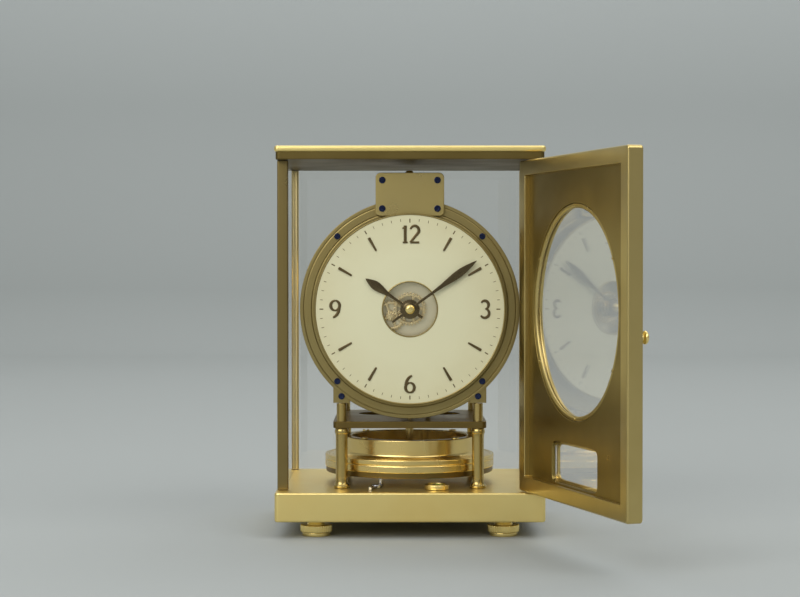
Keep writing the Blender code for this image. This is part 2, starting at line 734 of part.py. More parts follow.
def pane_grooves():
    """The outlines of the grooves for the side and back panes, seen from above."""
    slot = PANE_THICKNESS / 2 + SEAT
    front = FRONT_POST_Y + POST_WIDTH / 2 + SEAT
    back = REAR_POST_Y - POST_WIDTH / 2 - SEAT
    across = POST_X - POST_WIDTH / 2 - SEAT
    return [
        rectangle(POST_X - slot, POST_X + slot, front, back),
        rectangle(-POST_X - slot, -POST_X + slot, front, back),
        rectangle(-across, across, REAR_POST_Y - slot, REAR_POST_Y + slot),
    ]


def build_case(datum, brass, glass):
    """The base and top plates, the corner posts and the three fixed panes."""

    def outline_at(inset):
        half_width = CASE_WIDTH / 2 - inset
        return rectangle(-half_width, half_width, FRONT_Y + inset, BACK_Y - inset, CORNER_RADIUS)

    stud_hole = STUD_RADIUS + RUNNING
    feet = [(-FOOT_SPREAD, FRONT_FOOT_Y), (FOOT_SPREAD, FRONT_FOOT_Y), (0, REAR_FOOT_BACK)]
    base = rounded_edge(outline_at, BASE_LIFT, BASE_TOP, EDGE_ROUND)
    stud_top = BASE_LIFT + STUD_LENGTH + SEAT
    base += [(BASE_LIFT, stud_top, circle(stud_hole, SMALL_STEPS, place)) for place in feet]
    base += [(BASE_TOP - GROOVE_DEPTH, BASE_TOP, groove) for groove in pane_grooves()]
    pin_hole = HINGE_PIN_RADIUS + RUNNING
    base.append((BASE_TOP - HINGE_SOCKET_DEPTH, BASE_TOP, circle(pin_hole, SMALL_STEPS, (HINGE_X, HINGE_Y))))
    lock_hole = circle(LOCK_STUD_RADIUS + RUNNING, SMALL_STEPS, (-LOCK_SIDE, -LOCK_FORWARD))
    base.append((BASE_TOP - LOCK_STUD_DEPTH - SEAT, BASE_TOP, lock_hole))
    add("base_plate", stacked("base_plate", base), brass, datum)

    top = rounded_edge(outline_at, TOP_UNDER, CASE_HEIGHT, EDGE_ROUND)
    top += [(TOP_UNDER, TOP_UNDER + GROOVE_DEPTH, groove) for groove in pane_grooves()]
    top.append((TOP_UNDER, TOP_UNDER + HINGE_SOCKET_DEPTH, circle(pin_hole, SMALL_STEPS, (HINGE_X, HINGE_Y))))
    add("top_plate", stacked("top_plate", top), brass, datum)

    quarter = math.tau / 4
    posts = (
        ("front_left_post", -POST_X, FRONT_POST_Y, (quarter,)),
        ("front_right_post", POST_X, FRONT_POST_Y, (quarter,)),
        ("rear_left_post", -POST_X, REAR_POST_Y, (0, 3 * quarter)),
        ("rear_right_post", POST_X, REAR_POST_Y, (2 * quarter, 3 * quarter)),
    )
    for name, x, y, sides in posts:
        mesh = stacked(name, [(BASE_TOP + SEAT, TOP_UNDER - SEAT, post_outline(sides))])
        add(name, mesh, brass, datum, (x, y, 0))

    low = BASE_TOP - GROOVE_DEPTH + SEAT
    high = TOP_UNDER + GROOVE_DEPTH - SEAT
    half = PANE_THICKNESS / 2
    inset = POST_WIDTH / 2 - SEAT
    entry = PANE_ENTRY - 2 * SEAT
    front, back = FRONT_POST_Y + inset, REAR_POST_Y - inset
    tongue = 2 * SEAT

    def pane(name, along_low, along_high):
        """A pane with corners cut back so that its long edges enter the posts and its short ones the plates."""
        groove_low, groove_high = along_low + tongue, along_high - tongue
        body = [
            (groove_low, low),
            (groove_high, low),
            (groove_high, BASE_TOP + tongue),
            (along_high + entry, BASE_TOP + tongue),
            (along_high + entry, TOP_UNDER - tongue),
            (groove_high, TOP_UNDER - tongue),
            (groove_high, high),
            (groove_low, high),
            (groove_low, TOP_UNDER - tongue),
            (along_low - entry, TOP_UNDER - tongue),
            (along_low - entry, BASE_TOP + tongue),
            (groove_low, BASE_TOP + tongue),
        ]
        return stacked(name, [(-half, half, body)])

    side_turn = (quarter, 0, quarter)
    for name, x in (("left_glass", -POST_X), ("right_glass", POST_X)):
        add(name, pane(name, front, back), glass, datum, (x, 0, 0), side_turn)
    reach = POST_X - inset
    add("back_glass", pane("back_glass", -reach, reach), glass, datum, (0, REAR_POST_Y, 0), FORWARD)


def build_feet(datum, brass):
    """Two front feet with knurled wheels for levelling, and a plain rear foot."""
    neck_top = BASE_LIFT - SEAT
    wheel_top = PAD_HEIGHT + WHEEL_HEIGHT
    stud_top = BASE_LIFT + STUD_LENGTH
    knurl = [
        point
        for i in range(KNURL_COUNT)
        for point in (
            spot(WHEEL_RADIUS, math.tau * i / KNURL_COUNT),
            spot(WHEEL_RADIUS - KNURL_DEPTH, math.tau * (i + 0.5) / KNURL_COUNT),
        )
    ]
    for name, x in (("left_levelling_foot", -FOOT_SPREAD), ("right_levelling_foot", FOOT_SPREAD)):
        prisms = [
            (0, PAD_HEIGHT, circle(FOOT_RADIUS, ROUND_STEPS)),
            (PAD_HEIGHT, wheel_top, knurl),
            (wheel_top, neck_top, circle(NECK_RADIUS, ROUND_STEPS)),
            (neck_top, stud_top, circle(STUD_RADIUS, SMALL_STEPS)),
        ]
        add(name, stacked(name, prisms), brass, datum, (x, FRONT_FOOT_Y, 0))
    profile = [
        (0, 0),
        (FOOT_RADIUS, 0),
        (FOOT_RADIUS, PAD_HEIGHT),
        (NECK_RADIUS, wheel_top),
        (NECK_RADIUS, neck_top),
        (STUD_RADIUS, neck_top),
        (STUD_RADIUS, stud_top),
        (0, stud_top),
    ]
    add("rear_foot", turned("rear_foot", profile, ROUND_STEPS), brass, datum, (0, REAR_FOOT_BACK, 0))


def build_door(datum, brass, glass):
    """The hinged front: a rimmed plate with a round and a low window, its panes, knob and hinge pins."""
    hinge = empty("door_hinge", datum, (HINGE_X, HINGE_Y, 0), (0, 0, DOOR_OPEN))
    face = empty("door_face", hinge, (0, 0, 0), FORWARD)
    outer = HINGE_DEPTH
    inner = outer - DOOR_THICKNESS
    panel = outer - DOOR_PANEL
    lip = outer - LIP_THICKNESS
    middle = -HINGE_X

    def outline_at(inset):
        return rectangle(
            -DOOR_REACH + inset, DOOR_OVERHANG - inset, DOOR_BOTTOM + inset, DOOR_TOP - inset, DOOR_CORNER
        )

    def low_window(grow):
        half = LOW_WINDOW_WIDTH / 2 + grow
        rise = LOW_WINDOW_HEIGHT / 2 + grow
        return rectangle(
            middle - half, middle + half, LOW_WINDOW_Z - rise, LOW_WINDOW_Z + rise, LOW_WINDOW_CORNER
        )

    centre = (middle, DIAL_Z)
    knob_x = -DOOR_REACH + KNOB_INSET
    prisms = rounded_edge(outline_at, inner, outer, EDGE_ROUND, bottom=False)
    prisms += [
        (inner, panel, outline_at(RIM_WIDTH)),
        (panel, lip, circle(WINDOW_RADIUS, BROAD_STEPS, centre)),
        (panel, lip, low_window(WINDOW_LIP)),
        (lip, outer, circle(WINDOW_RADIUS - WINDOW_LIP, BROAD_STEPS, centre)),
        (lip, outer, low_window(0)),
        (inner, outer, circle(KNOB_SHAFT_RADIUS + RUNNING, FINE_STEPS, (knob_x, KNOB_Z))),
    ]
    door = add("door_frame", stacked("door_frame", prisms), brass, face)
    bore = HINGE_PIN_RADIUS + RUNNING
    depth = HINGE_PIN_ENTRY + SEAT
    for end, low in (("bottom", DOOR_BOTTOM - OVERRUN), ("top", DOOR_TOP - depth)):
        drill = stacked("drill", [(low, low + depth + OVERRUN, circle(bore, SMALL_STEPS))])
        cut(door, "door_bore_" + end, drill, (0, 0, 0), (-math.tau / 4, 0, 0))

    glass_front = lip - SEAT
    glass_back = glass_front - DOOR_GLASS
    pane = [(glass_back, glass_front, circle(WINDOW_RADIUS - SEAT, BROAD_STEPS, centre))]
    add("door_glass", stacked("door_glass", pane), glass, face)
    pane = [(glass_back, glass_front, low_window(WINDOW_LIP - SEAT))]
    add("pendulum_window_glass", stacked("pendulum_window_glass", pane), glass, face)
    ring_front = glass_back - SEAT
    ring = [
        (ring_front - RETAINER_THICKNESS, ring_front, circle(WINDOW_RADIUS - SEAT, BROAD_STEPS, centre)),
        (ring_front - RETAINER_THICKNESS, ring_front, circle(WINDOW_RADIUS - RETAINER_WIDTH, BROAD_STEPS, centre)),
    ]
    add("glass_retainer", stacked("glass_retainer", ring), brass, face)

    knob_foot = outer + SEAT
    profile = [
        (0, inner + SEAT),
        (KNOB_SHAFT_RADIUS, inner + SEAT),
        (KNOB_SHAFT_RADIUS, knob_foot),
        (KNOB_RADIUS / 2, knob_foot),
        (KNOB_RADIUS / 2, knob_foot + KNOB_HEIGHT / 4),
        (KNOB_RADIUS, knob_foot + KNOB_HEIGHT / 2),
        (KNOB_RADIUS, knob_foot + KNOB_HEIGHT * 3 / 4),
        (KNOB_RADIUS * 3 / 4, knob_foot + KNOB_HEIGHT),
        (0, knob_foot + KNOB_HEIGHT),
    ]
    add("door_knob", turned("door_knob", profile, SMALL_STEPS), brass, face, (knob_x, KNOB_Z, 0))

    pins = (
        ("bottom_hinge_pin", BASE_TOP - HINGE_SOCKET_DEPTH + SEAT, DOOR_BOTTOM + HINGE_PIN_ENTRY),
        ("top_hinge_pin", DOOR_TOP - HINGE_PIN_ENTRY, TOP_UNDER + HINGE_SOCKET_DEPTH - SEAT),
    )
    for name, low, high in pins:
        mesh = stacked(name, [(low, high, circle(HINGE_PIN_RADIUS, SMALL_STEPS))])
        add(name, mesh, brass, datum, (HINGE_X, HINGE_Y, 0))


def build_frame(datum, works, brass):
    """The pillars, the platform, the main plate with its ring and the back plate with its pillars."""
    lug_z = DIAL_Z - LUG_DROP - SEAT
    band_z = DIAL_Z - BAND_DROP - SEAT
    pillars = (
        ("front_left_pillar", -PILLAR_SPREAD, -FRONT_PILLAR_FORWARD, lug_z),
        ("front_right_pillar", PILLAR_SPREAD, -FRONT_PILLAR_FORWARD, lug_z),
        ("rear_left_pillar", -PILLAR_SPREAD, REAR_PILLAR_BACK, band_z),
        ("rear_right_pillar", PILLAR_SPREAD, REAR_PILLAR_BACK, band_z),
    )
    foot = BASE_TOP + SEAT
    shoulder = PLATFORM_Z - SEAT
    for name, x, y, top in pillars:
        profile = [
            (0, foot),
            (PILLAR_FOOT_RADIUS, foot),
            (PILLAR_FOOT_RADIUS, foot + PILLAR_FOOT_HEIGHT),
            (PILLAR_RADIUS, foot + PILLAR_FOOT_HEIGHT + PILLAR_FOOT_RADIUS - PILLAR_RADIUS),
            (PILLAR_RADIUS, shoulder),
            (PILLAR_NECK_RADIUS, shoulder),
            (PILLAR_NECK_RADIUS, top),
            (0, top),
        ]
        add(name, turned(name, profile, SMALL_STEPS), brass, datum, (x, y, 0))

    reach = PILLAR_SPREAD + PLATFORM_MARGIN
    outline = rectangle(
        -reach, reach, -FRONT_PILLAR_FORWARD - PLATFORM_MARGIN, REAR_PILLAR_BACK + PLATFORM_MARGIN, PLATFORM_CORNER
    )
    hole = PILLAR_NECK_RADIUS + RUNNING
    pivot = PIVOT_RADIUS + RUNNING
    outlines = [outline] + [circle(hole, SMALL_STEPS, (x, y)) for name, x, y, top in pillars]
    outlines.append(circle(STAFF_HOLE_RADIUS, ROUND_STEPS))
    outlines += [circle(pivot, FINE_STEPS, (0, -forward)) for forward in (ESCAPE_FORWARD, PALLET_FORWARD)]
    for side in (-1, 1):
        outlines.append(circle(SIDE_WINDOW_RADIUS, ROUND_STEPS, (side * SIDE_WINDOW_SPREAD, SIDE_WINDOW_BACK)))
    add("platform", stacked("platform", [(PLATFORM_Z, PLATFORM_TOP, one) for one in outlines]), brass, datum)

    barrel_spot = (BARREL_X, BARREL_UP)
    centre_hole = circle(ARBOR_RADIUS + RUNNING, FINE_STEPS)
    barrel_hole = circle(BARREL_ARBOR_RADIUS + RUNNING, SMALL_STEPS, barrel_spot)
    contrate_hole = circle(pivot, FINE_STEPS, (0, -CONTRATE_DROP))
    minute_hole = circle(pivot, FINE_STEPS, spot(MOTION_DISTANCE, MOTION_ANGLE))
    plate = [tabbed_disc(RING_RADIUS, LUG_DROP), centre_hole, barrel_hole, contrate_hole]
    openings = windows(
        CENTRE_DISC_RADIUS, RING_RADIUS - RING_WIDTH, PLATE_ARMS, PLATE_ARM_WIDTH, SMALL_STEPS, math.pi / PLATE_ARMS
    )
    prisms = [(PLATE_BACK, PLATE_FRONT, one) for one in plate + openings]
    prisms.append((PLATE_FRONT - PLATE_THICKNESS * 3 / 4, PLATE_FRONT, minute_hole))
    add("main_plate", stacked("main_plate", prisms), brass, works)

    back = [circle(CENTRE_DISC_RADIUS, BROAD_STEPS), list(centre_hole), list(barrel_hole), list(contrate_hole)]
    prisms = [(BACK_PLATE_BACK, BACK_PLATE_FRONT, one) for one in back]
    for angle in PLATE_PILLAR_ANGLES:
        place = spot(PLATE_PILLAR_REACH, angle)
        prisms.append((BACK_PLATE_FRONT, PLATE_BACK - SEAT, circle(PLATE_PILLAR_RADIUS, SMALL_STEPS, place)))
    ear_front = PULLEY_FORWARD - EAR_PROUD
    for side in (-1, 1):
        near = CHAIN_X + side * (PULLEY_WIDTH / 2 + SEAT)
        far = near + side * EAR_THICKNESS
        ear = rectangle(min(near, far), max(near, far), PULLEY_UP - EAR_HEIGHT / 2, PULLEY_UP + EAR_HEIGHT / 2)
        prisms.append((ear_front, BACK_PLATE_BACK, ear))
    plate = add("back_plate", stacked("back_plate", prisms), brass, works)
    drill_reach = PULLEY_WIDTH / 2 + EAR_THICKNESS + OVERRUN
    drill = stacked("drill", [(-drill_reach, drill_reach, circle(PULLEY_AXLE_RADIUS + RUNNING, SMALL_STEPS))])
    cut(plate, "pulley_axle_bore", drill, (CHAIN_X, PULLEY_UP, PULLEY_FORWARD), SIDEWAYS)


def hand_outline(length, hub, leaf):
    """A leaf hand that points up: a round hub, a thin neck and a leaf that swells towards a fine tip."""
    neck = HAND_NECK / 2
    start = math.asin(neck / hub)
    rise = hub * math.cos(start)
    right = []
    for i in range(1, HAND_POINTS):
        share = i / HAND_POINTS
        swell = math.sin(math.pi * share ** 2) ** 2
        right.append((neck + (leaf / 2 - neck) * swell, rise + (length - rise) * share))
    left = [(-x, y) for x, y in reversed(right)]
    tip = [(neck / 2, length), (-neck / 2, length)]
    quarter = math.tau / 4
    return arc(hub, quarter + start, math.tau + quarter - start, ROUND_STEPS) + right + tip + left


def build_dial(works, cream, dark):
    """The dial on its feet, both hands and the nut that holds them."""
    front = DIAL_BACK + DIAL_THICKNESS
    face = circle(DIAL_RADIUS, BROAD_STEPS)
    prisms = [
        (DIAL_BACK, front - DIAL_EDGE, face),
        (front - DIAL_EDGE, front, face, circle(DIAL_RADIUS - DIAL_EDGE, BROAD_STEPS)),
        (DIAL_BACK, front, circle(DIAL_OPENING, ROUND_STEPS)),
    ]
    for angle in DIAL_FOOT_ANGLES:
        foot = circle(DIAL_FOOT_RADIUS, FINE_STEPS, spot(DIAL_FOOT_REACH, angle))
        prisms.append((PLATE_FRONT + SEAT, DIAL_BACK, foot))
    add("dial", stacked("dial", prisms), cream, works)

    hands = (
        ("hour_hand", HOUR_HAND_BACK, HOUR_LENGTH, HOUR_HUB_RADIUS, HOUR_LEAF, HOUR_PIPE_RADIUS, HOUR_ANGLE),
        ("minute_hand", MINUTE_HAND_BACK, MINUTE_LENGTH, MINUTE_HUB_RADIUS, MINUTE_LEAF, CANNON_PIPE_RADIUS,
         MINUTE_ANGLE),
    )
    for name, back, length, hub, leaf, pipe, angle in hands:
        outlines = (hand_outline(length, hub, leaf), circle(pipe + SEAT, SMALL_STEPS))
        mesh = stacked(name, [(back, back + HAND_THICKNESS, outline) for outline in outlines])
        add(name, mesh, dark, works, (0, 0, 0), (0, 0, angle))
    foot = CANNON_FRONT + SEAT
    profile = [
        (0, foot),
        (NUT_RADIUS, foot),
        (NUT_RADIUS, foot + NUT_HEIGHT / 2),
        (NUT_RADIUS / 2, foot + NUT_HEIGHT),
        (0, foot + NUT_HEIGHT),
    ]
    add("hand_nut", turned("hand_nut", profile, SMALL_STEPS), dark, works)


def build_motion_work(works, brass):
    """The cannon pinion, the minute wheel and the hour wheel between the main plate and the dial."""
    bore = circle(PIVOT_RADIUS + RUNNING, FINE_STEPS)
    cannon_top = CANNON_BACK + CANNON_HEIGHT
    prisms = [
        (CANNON_BACK, cannon_top, gear(CANNON_TEETH, MOTION_ANGLE + math.pi / CANNON_TEETH)),
        (cannon_top, CANNON_FRONT, circle(CANNON_PIPE_RADIUS, SMALL_STEPS)),
        (CANNON_BACK, CANNON_FRONT, bore),
    ]
    add("cannon_pinion", stacked("cannon_pinion", prisms), brass, works)

    hour_top = HOUR_WHEEL_BACK + WHEEL_THICKNESS
    hour_front = HOUR_HAND_BACK + HAND_THICKNESS + SEAT
    prisms = [
        (HOUR_WHEEL_BACK, hour_top, gear(HOUR_WHEEL_TEETH, MOTION_ANGLE)),
        (hour_top, hour_front, circle(HOUR_PIPE_RADIUS, SMALL_STEPS)),
        (HOUR_WHEEL_BACK, hour_front, circle(CANNON_PIPE_RADIUS + RUNNING, SMALL_STEPS)),
    ]
    add("hour_wheel", stacked("hour_wheel", prisms), brass, works)

    wheel_top = MINUTE_WHEEL_BACK + WHEEL_THICKNESS
    facing = MOTION_ANGLE + math.pi
    prisms = [
        (PLATE_FRONT - PLATE_THICKNESS / 2, MINUTE_WHEEL_BACK, circle(PIVOT_RADIUS, FINE_STEPS)),
        (MINUTE_WHEEL_BACK, wheel_top, gear(MINUTE_WHEEL_TEETH, facing)),
        (wheel_top, hour_top + PLAY, gear(MINUTE_PINION_TEETH, facing + math.pi / MINUTE_PINION_TEETH)),
    ]
    x, up = spot(MOTION_DISTANCE, MOTION_ANGLE)
    add("minute_wheel", stacked("minute_wheel", prisms), brass, works, (x, up, 0))


def wheel_windows(teeth, start):
    """The openings between the arms of a train wheel."""
    rim = MODULE * teeth / 2 - MODULE * DEDENDUM_SHARE - WHEEL_RIM
    return windows(WHEEL_HUB, rim, WHEEL_ARMS, WHEEL_ARM, FINE_STEPS // 2, start)


def build_train(works, brass, steel):
    """The barrel on its arbor, the centre wheel and the contrate wheel that turns the drive upright."""
    great_top = GREAT_WHEEL_BACK + WHEEL_THICKNESS
    drum_top = great_top + BARREL_DEPTH
    boss = circle(BARREL_BOSS, SMALL_STEPS)
    prisms = [
        (GREAT_WHEEL_BACK - PLAY, GREAT_WHEEL_BACK, boss),
        (GREAT_WHEEL_BACK, great_top, gear(GREAT_WHEEL_TEETH, BARREL_ANGLE + math.pi)),
        (great_top, drum_top, circle(BARREL_RADIUS, ROUND_STEPS)),
        (drum_top, PLATE_BACK - PLAY, boss),
        (GREAT_WHEEL_BACK - PLAY, PLATE_BACK - PLAY, circle(BARREL_ARBOR_RADIUS + RUNNING, SMALL_STEPS)),
    ]
    add("barrel", stacked("barrel", prisms), brass, works, (BARREL_X, BARREL_UP, 0))

    arbor_back = CHAIN_WHEEL_FORWARD - CHAIN_WHEEL_WIDTH
    ratchet = saw(RATCHET_RADIUS, RATCHET_ROOT, RATCHET_TEETH, RATCHET_TOOTH_SHARES)
    arbor = circle(BARREL_ARBOR_RADIUS, SMALL_STEPS)
    prisms = [
        (arbor_back, RATCHET_BACK, arbor),
        (RATCHET_BACK, RATCHET_BACK + RATCHET_THICKNESS, ratchet),
        (RATCHET_BACK + RATCHET_THICKNESS, PLATE_FRONT - SEAT, arbor),
    ]
    add("barrel_arbor", stacked("barrel_arbor", prisms), steel, works, (BARREL_X, BARREL_UP, 0))

    wheel_top = CENTRE_WHEEL_BACK + WHEEL_THICKNESS
    half_pitch = math.pi / CENTRE_WHEEL_TEETH
    arbor = circle(ARBOR_RADIUS, FINE_STEPS)
    pinion_top = CENTRE_PINION_BACK + CENTRE_PINION_LENGTH
    prisms = [
        (BACK_PLATE_BACK + SEAT, CENTRE_WHEEL_BACK, arbor),
        (CENTRE_WHEEL_BACK, wheel_top, gear(CENTRE_WHEEL_TEETH, CONTRATE_ANGLE + half_pitch)),
        (wheel_top, CENTRE_PINION_BACK, arbor),
        (CENTRE_PINION_BACK, pinion_top, gear(CENTRE_PINION_TEETH, BARREL_ANGLE + math.pi / CENTRE_PINION_TEETH)),
        (pinion_top, PLATE_FRONT + LAYER_GAP / 2, arbor),
        (PLATE_FRONT + LAYER_GAP / 2, DIAL_BACK, circle(PIVOT_RADIUS, FINE_STEPS)),
    ]
    prisms += [(CENTRE_WHEEL_BACK, wheel_top, one) for one in wheel_windows(CENTRE_WHEEL_TEETH, 0)]
    add("centre_wheel", stacked("centre_wheel", prisms), brass, works)

    pinion_top = CONTRATE_PINION_BACK + CONTRATE_PINION_LENGTH
    teeth_back = CONTRATE_DISC_BACK - CONTRATE_TOOTH_HEIGHT
    disc_top = CONTRATE_DISC_BACK + CONTRATE_DISC_THICKNESS
    arbor = circle(PIVOT_RADIUS, FINE_STEPS)
    inner = CONTRATE_RADIUS - CONTRATE_TOOTH_LENGTH / 2
    outer = CONTRATE_RADIUS + CONTRATE_TOOTH_LENGTH / 2
    prisms = [
        (BACK_PLATE_BACK + SEAT, CONTRATE_PINION_BACK, arbor),
        (CONTRATE_PINION_BACK, pinion_top, gear(CONTRATE_PINION_TEETH, -CONTRATE_ANGLE)),
        (pinion_top, CONTRATE_DISC_BACK, arbor),
        (CONTRATE_DISC_BACK, disc_top, circle(outer + CONTRATE_RIM, ROUND_STEPS)),
        (disc_top, PLATE_FRONT - SEAT, arbor),
    ]
    half_tooth = CONTRATE_TOOTH_SHARE * math.pi / CONTRATE_TEETH
    for i in range(CONTRATE_TEETH):
        middle = CONTRATE_ANGLE + math.tau * i / CONTRATE_TEETH
        tooth = [spot(inner, middle - half_tooth), spot(outer, middle - half_tooth)]
        tooth += [spot(outer, middle + half_tooth), spot(inner, middle + half_tooth)]
        prisms.append((teeth_back, CONTRATE_DISC_BACK, tooth))
    add("contrate_wheel", stacked("contrate_wheel", prisms), brass, works, (0, -CONTRATE_DROP, 0))


def lever_outline():
    """The pallet lever, with its fork towards +y and its two pallets reaching for the escape wheel at -y."""
    tip = ESCAPE_RADIUS + PALLET_CLEARANCE
    base = tip + PALLET_LENGTH

    def about_escape_wheel(radius, angle):
        return radius * math.sin(angle), -PALLET_DISTANCE + radius * math.cos(angle)

    near = PALLET_SPAN - PALLET_WIDTH / 2
    far = PALLET_SPAN + PALLET_WIDTH / 2
    fork_end = PALLET_FORWARD - IMPULSE_REACH - IMPULSE_RADIUS - FORK_CLEARANCE
    slot_end = fork_end - FORK_DEPTH
    right = [
        (0, -LEVER_BOSS),
        about_escape_wheel(base, near),
        about_escape_wheel(tip, near),
        about_escape_wheel(tip, far),
        about_escape_wheel(base + LEVER_WIDTH / 3, far),
        (LEVER_BOSS, 0),
        (LEVER_WIDTH / 2, LEVER_BOSS),
        (LEVER_WIDTH / 2, slot_end - FORK_WIDTH / 2),
        (FORK_WIDTH / 2, slot_end - FORK_SLOT / 4),
        (FORK_WIDTH / 2, fork_end),
        (FORK_SLOT / 2, fork_end),
        (FORK_SLOT / 2, slot_end),
    ]
    return right + [(-x, y) for x, y in reversed(right) if x > 0]


def build_escapement(datum, brass, steel):
    """The upright escape wheel, its upper cock, and the pallet lever with its own cock on the platform."""
    wheel_top = ESCAPE_Z + WHEEL_THICKNESS
    pinion_top = ESCAPE_PINION_Z + ESCAPE_PINION_LENGTH
    cock_low = pinion_top + LAYER_GAP / 2
    cock_high = cock_low + COCK_THICKNESS
    root = ESCAPE_RADIUS * ESCAPE_ROOT_SHARE
    pivot = circle(PIVOT_RADIUS, FINE_STEPS)
    arbor = circle(ARBOR_RADIUS, FINE_STEPS)
    gap_to_contrate = CONTRATE_ANGLE + math.pi / ESCAPE_PINION_TEETH
    prisms = [
        (PLATFORM_Z + SEAT, ESCAPE_Z - PLAY, pivot),
        (ESCAPE_Z - PLAY, ESCAPE_Z, circle(ESCAPE_BOSS, SMALL_STEPS)),
        (ESCAPE_Z, wheel_top, saw(ESCAPE_RADIUS, root, ESCAPE_TEETH, ESCAPE_TOOTH_SHARES)),
        (wheel_top, ESCAPE_PINION_Z, arbor),
        (ESCAPE_PINION_Z, pinion_top, gear(ESCAPE_PINION_TEETH, gap_to_contrate)),
        (pinion_top, cock_high - SEAT, pivot),
    ]
    arms = windows(WHEEL_HUB * 3 / 4, root - WHEEL_RIM / 2, 3, WHEEL_ARM, FINE_STEPS // 2)
    prisms += [(ESCAPE_Z, wheel_top, one) for one in arms]
    add("escape_wheel", stacked("escape_wheel", prisms), brass, datum, (0, -ESCAPE_FORWARD, 0))

    half = COCK_WIDTH / 2
    front = -PLATE_BACK + SEAT
    arm_left = -COCK_REACH - half
    arm = [
        (half, -ESCAPE_FORWARD + half),
        (arm_left, -ESCAPE_FORWARD + half),
        (arm_left, front),
        (arm_left + COCK_WIDTH, front),
        (arm_left + COCK_WIDTH, -ESCAPE_FORWARD - half),
        (half, -ESCAPE_FORWARD - half),
    ]
    foot = rectangle(
        arm_left + SEAT, arm_left + COCK_WIDTH - SEAT, front + SEAT, front + SEAT + COCK_THICKNESS
    )
    prisms = [
        (cock_low, cock_high, arm),
        (cock_low, cock_high, circle(PIVOT_RADIUS + RUNNING, FINE_STEPS, (0, -ESCAPE_FORWARD))),
        (cock_low - COCK_WIDTH, cock_low, foot),
    ]
    add("escape_cock", stacked("escape_cock", prisms), brass, datum)

    lever_top = ESCAPE_Z + LEVER_THICKNESS
    prisms = [
        (PLATFORM_Z + SEAT, ESCAPE_Z, circle(PIVOT_RADIUS, FINE_STEPS)),
        (ESCAPE_Z, lever_top, lever_outline()),
        (lever_top, COCK_Z + COCK_THICKNESS - SEAT, circle(PIVOT_RADIUS, FINE_STEPS)),
    ]
    add("pallet_lever", stacked("pallet_lever", prisms), steel, datum, (0, -PALLET_FORWARD, 0))

    leg_right = COCK_REACH + half
    leg = rectangle(leg_right - COCK_LEG, leg_right - SEAT, -half + SEAT, half - SEAT)
    prisms = [
        (PLATFORM_TOP + SEAT, COCK_Z, leg),
        (COCK_Z, COCK_Z + COCK_THICKNESS, rectangle(-half, leg_right, -half, half)),
        (COCK_Z, COCK_Z + COCK_THICKNESS, circle(PIVOT_RADIUS + RUNNING, FINE_STEPS)),
    ]
    add("pallet_cock", stacked("pallet_cock", prisms), brass, datum, (0, -PALLET_FORWARD, 0))


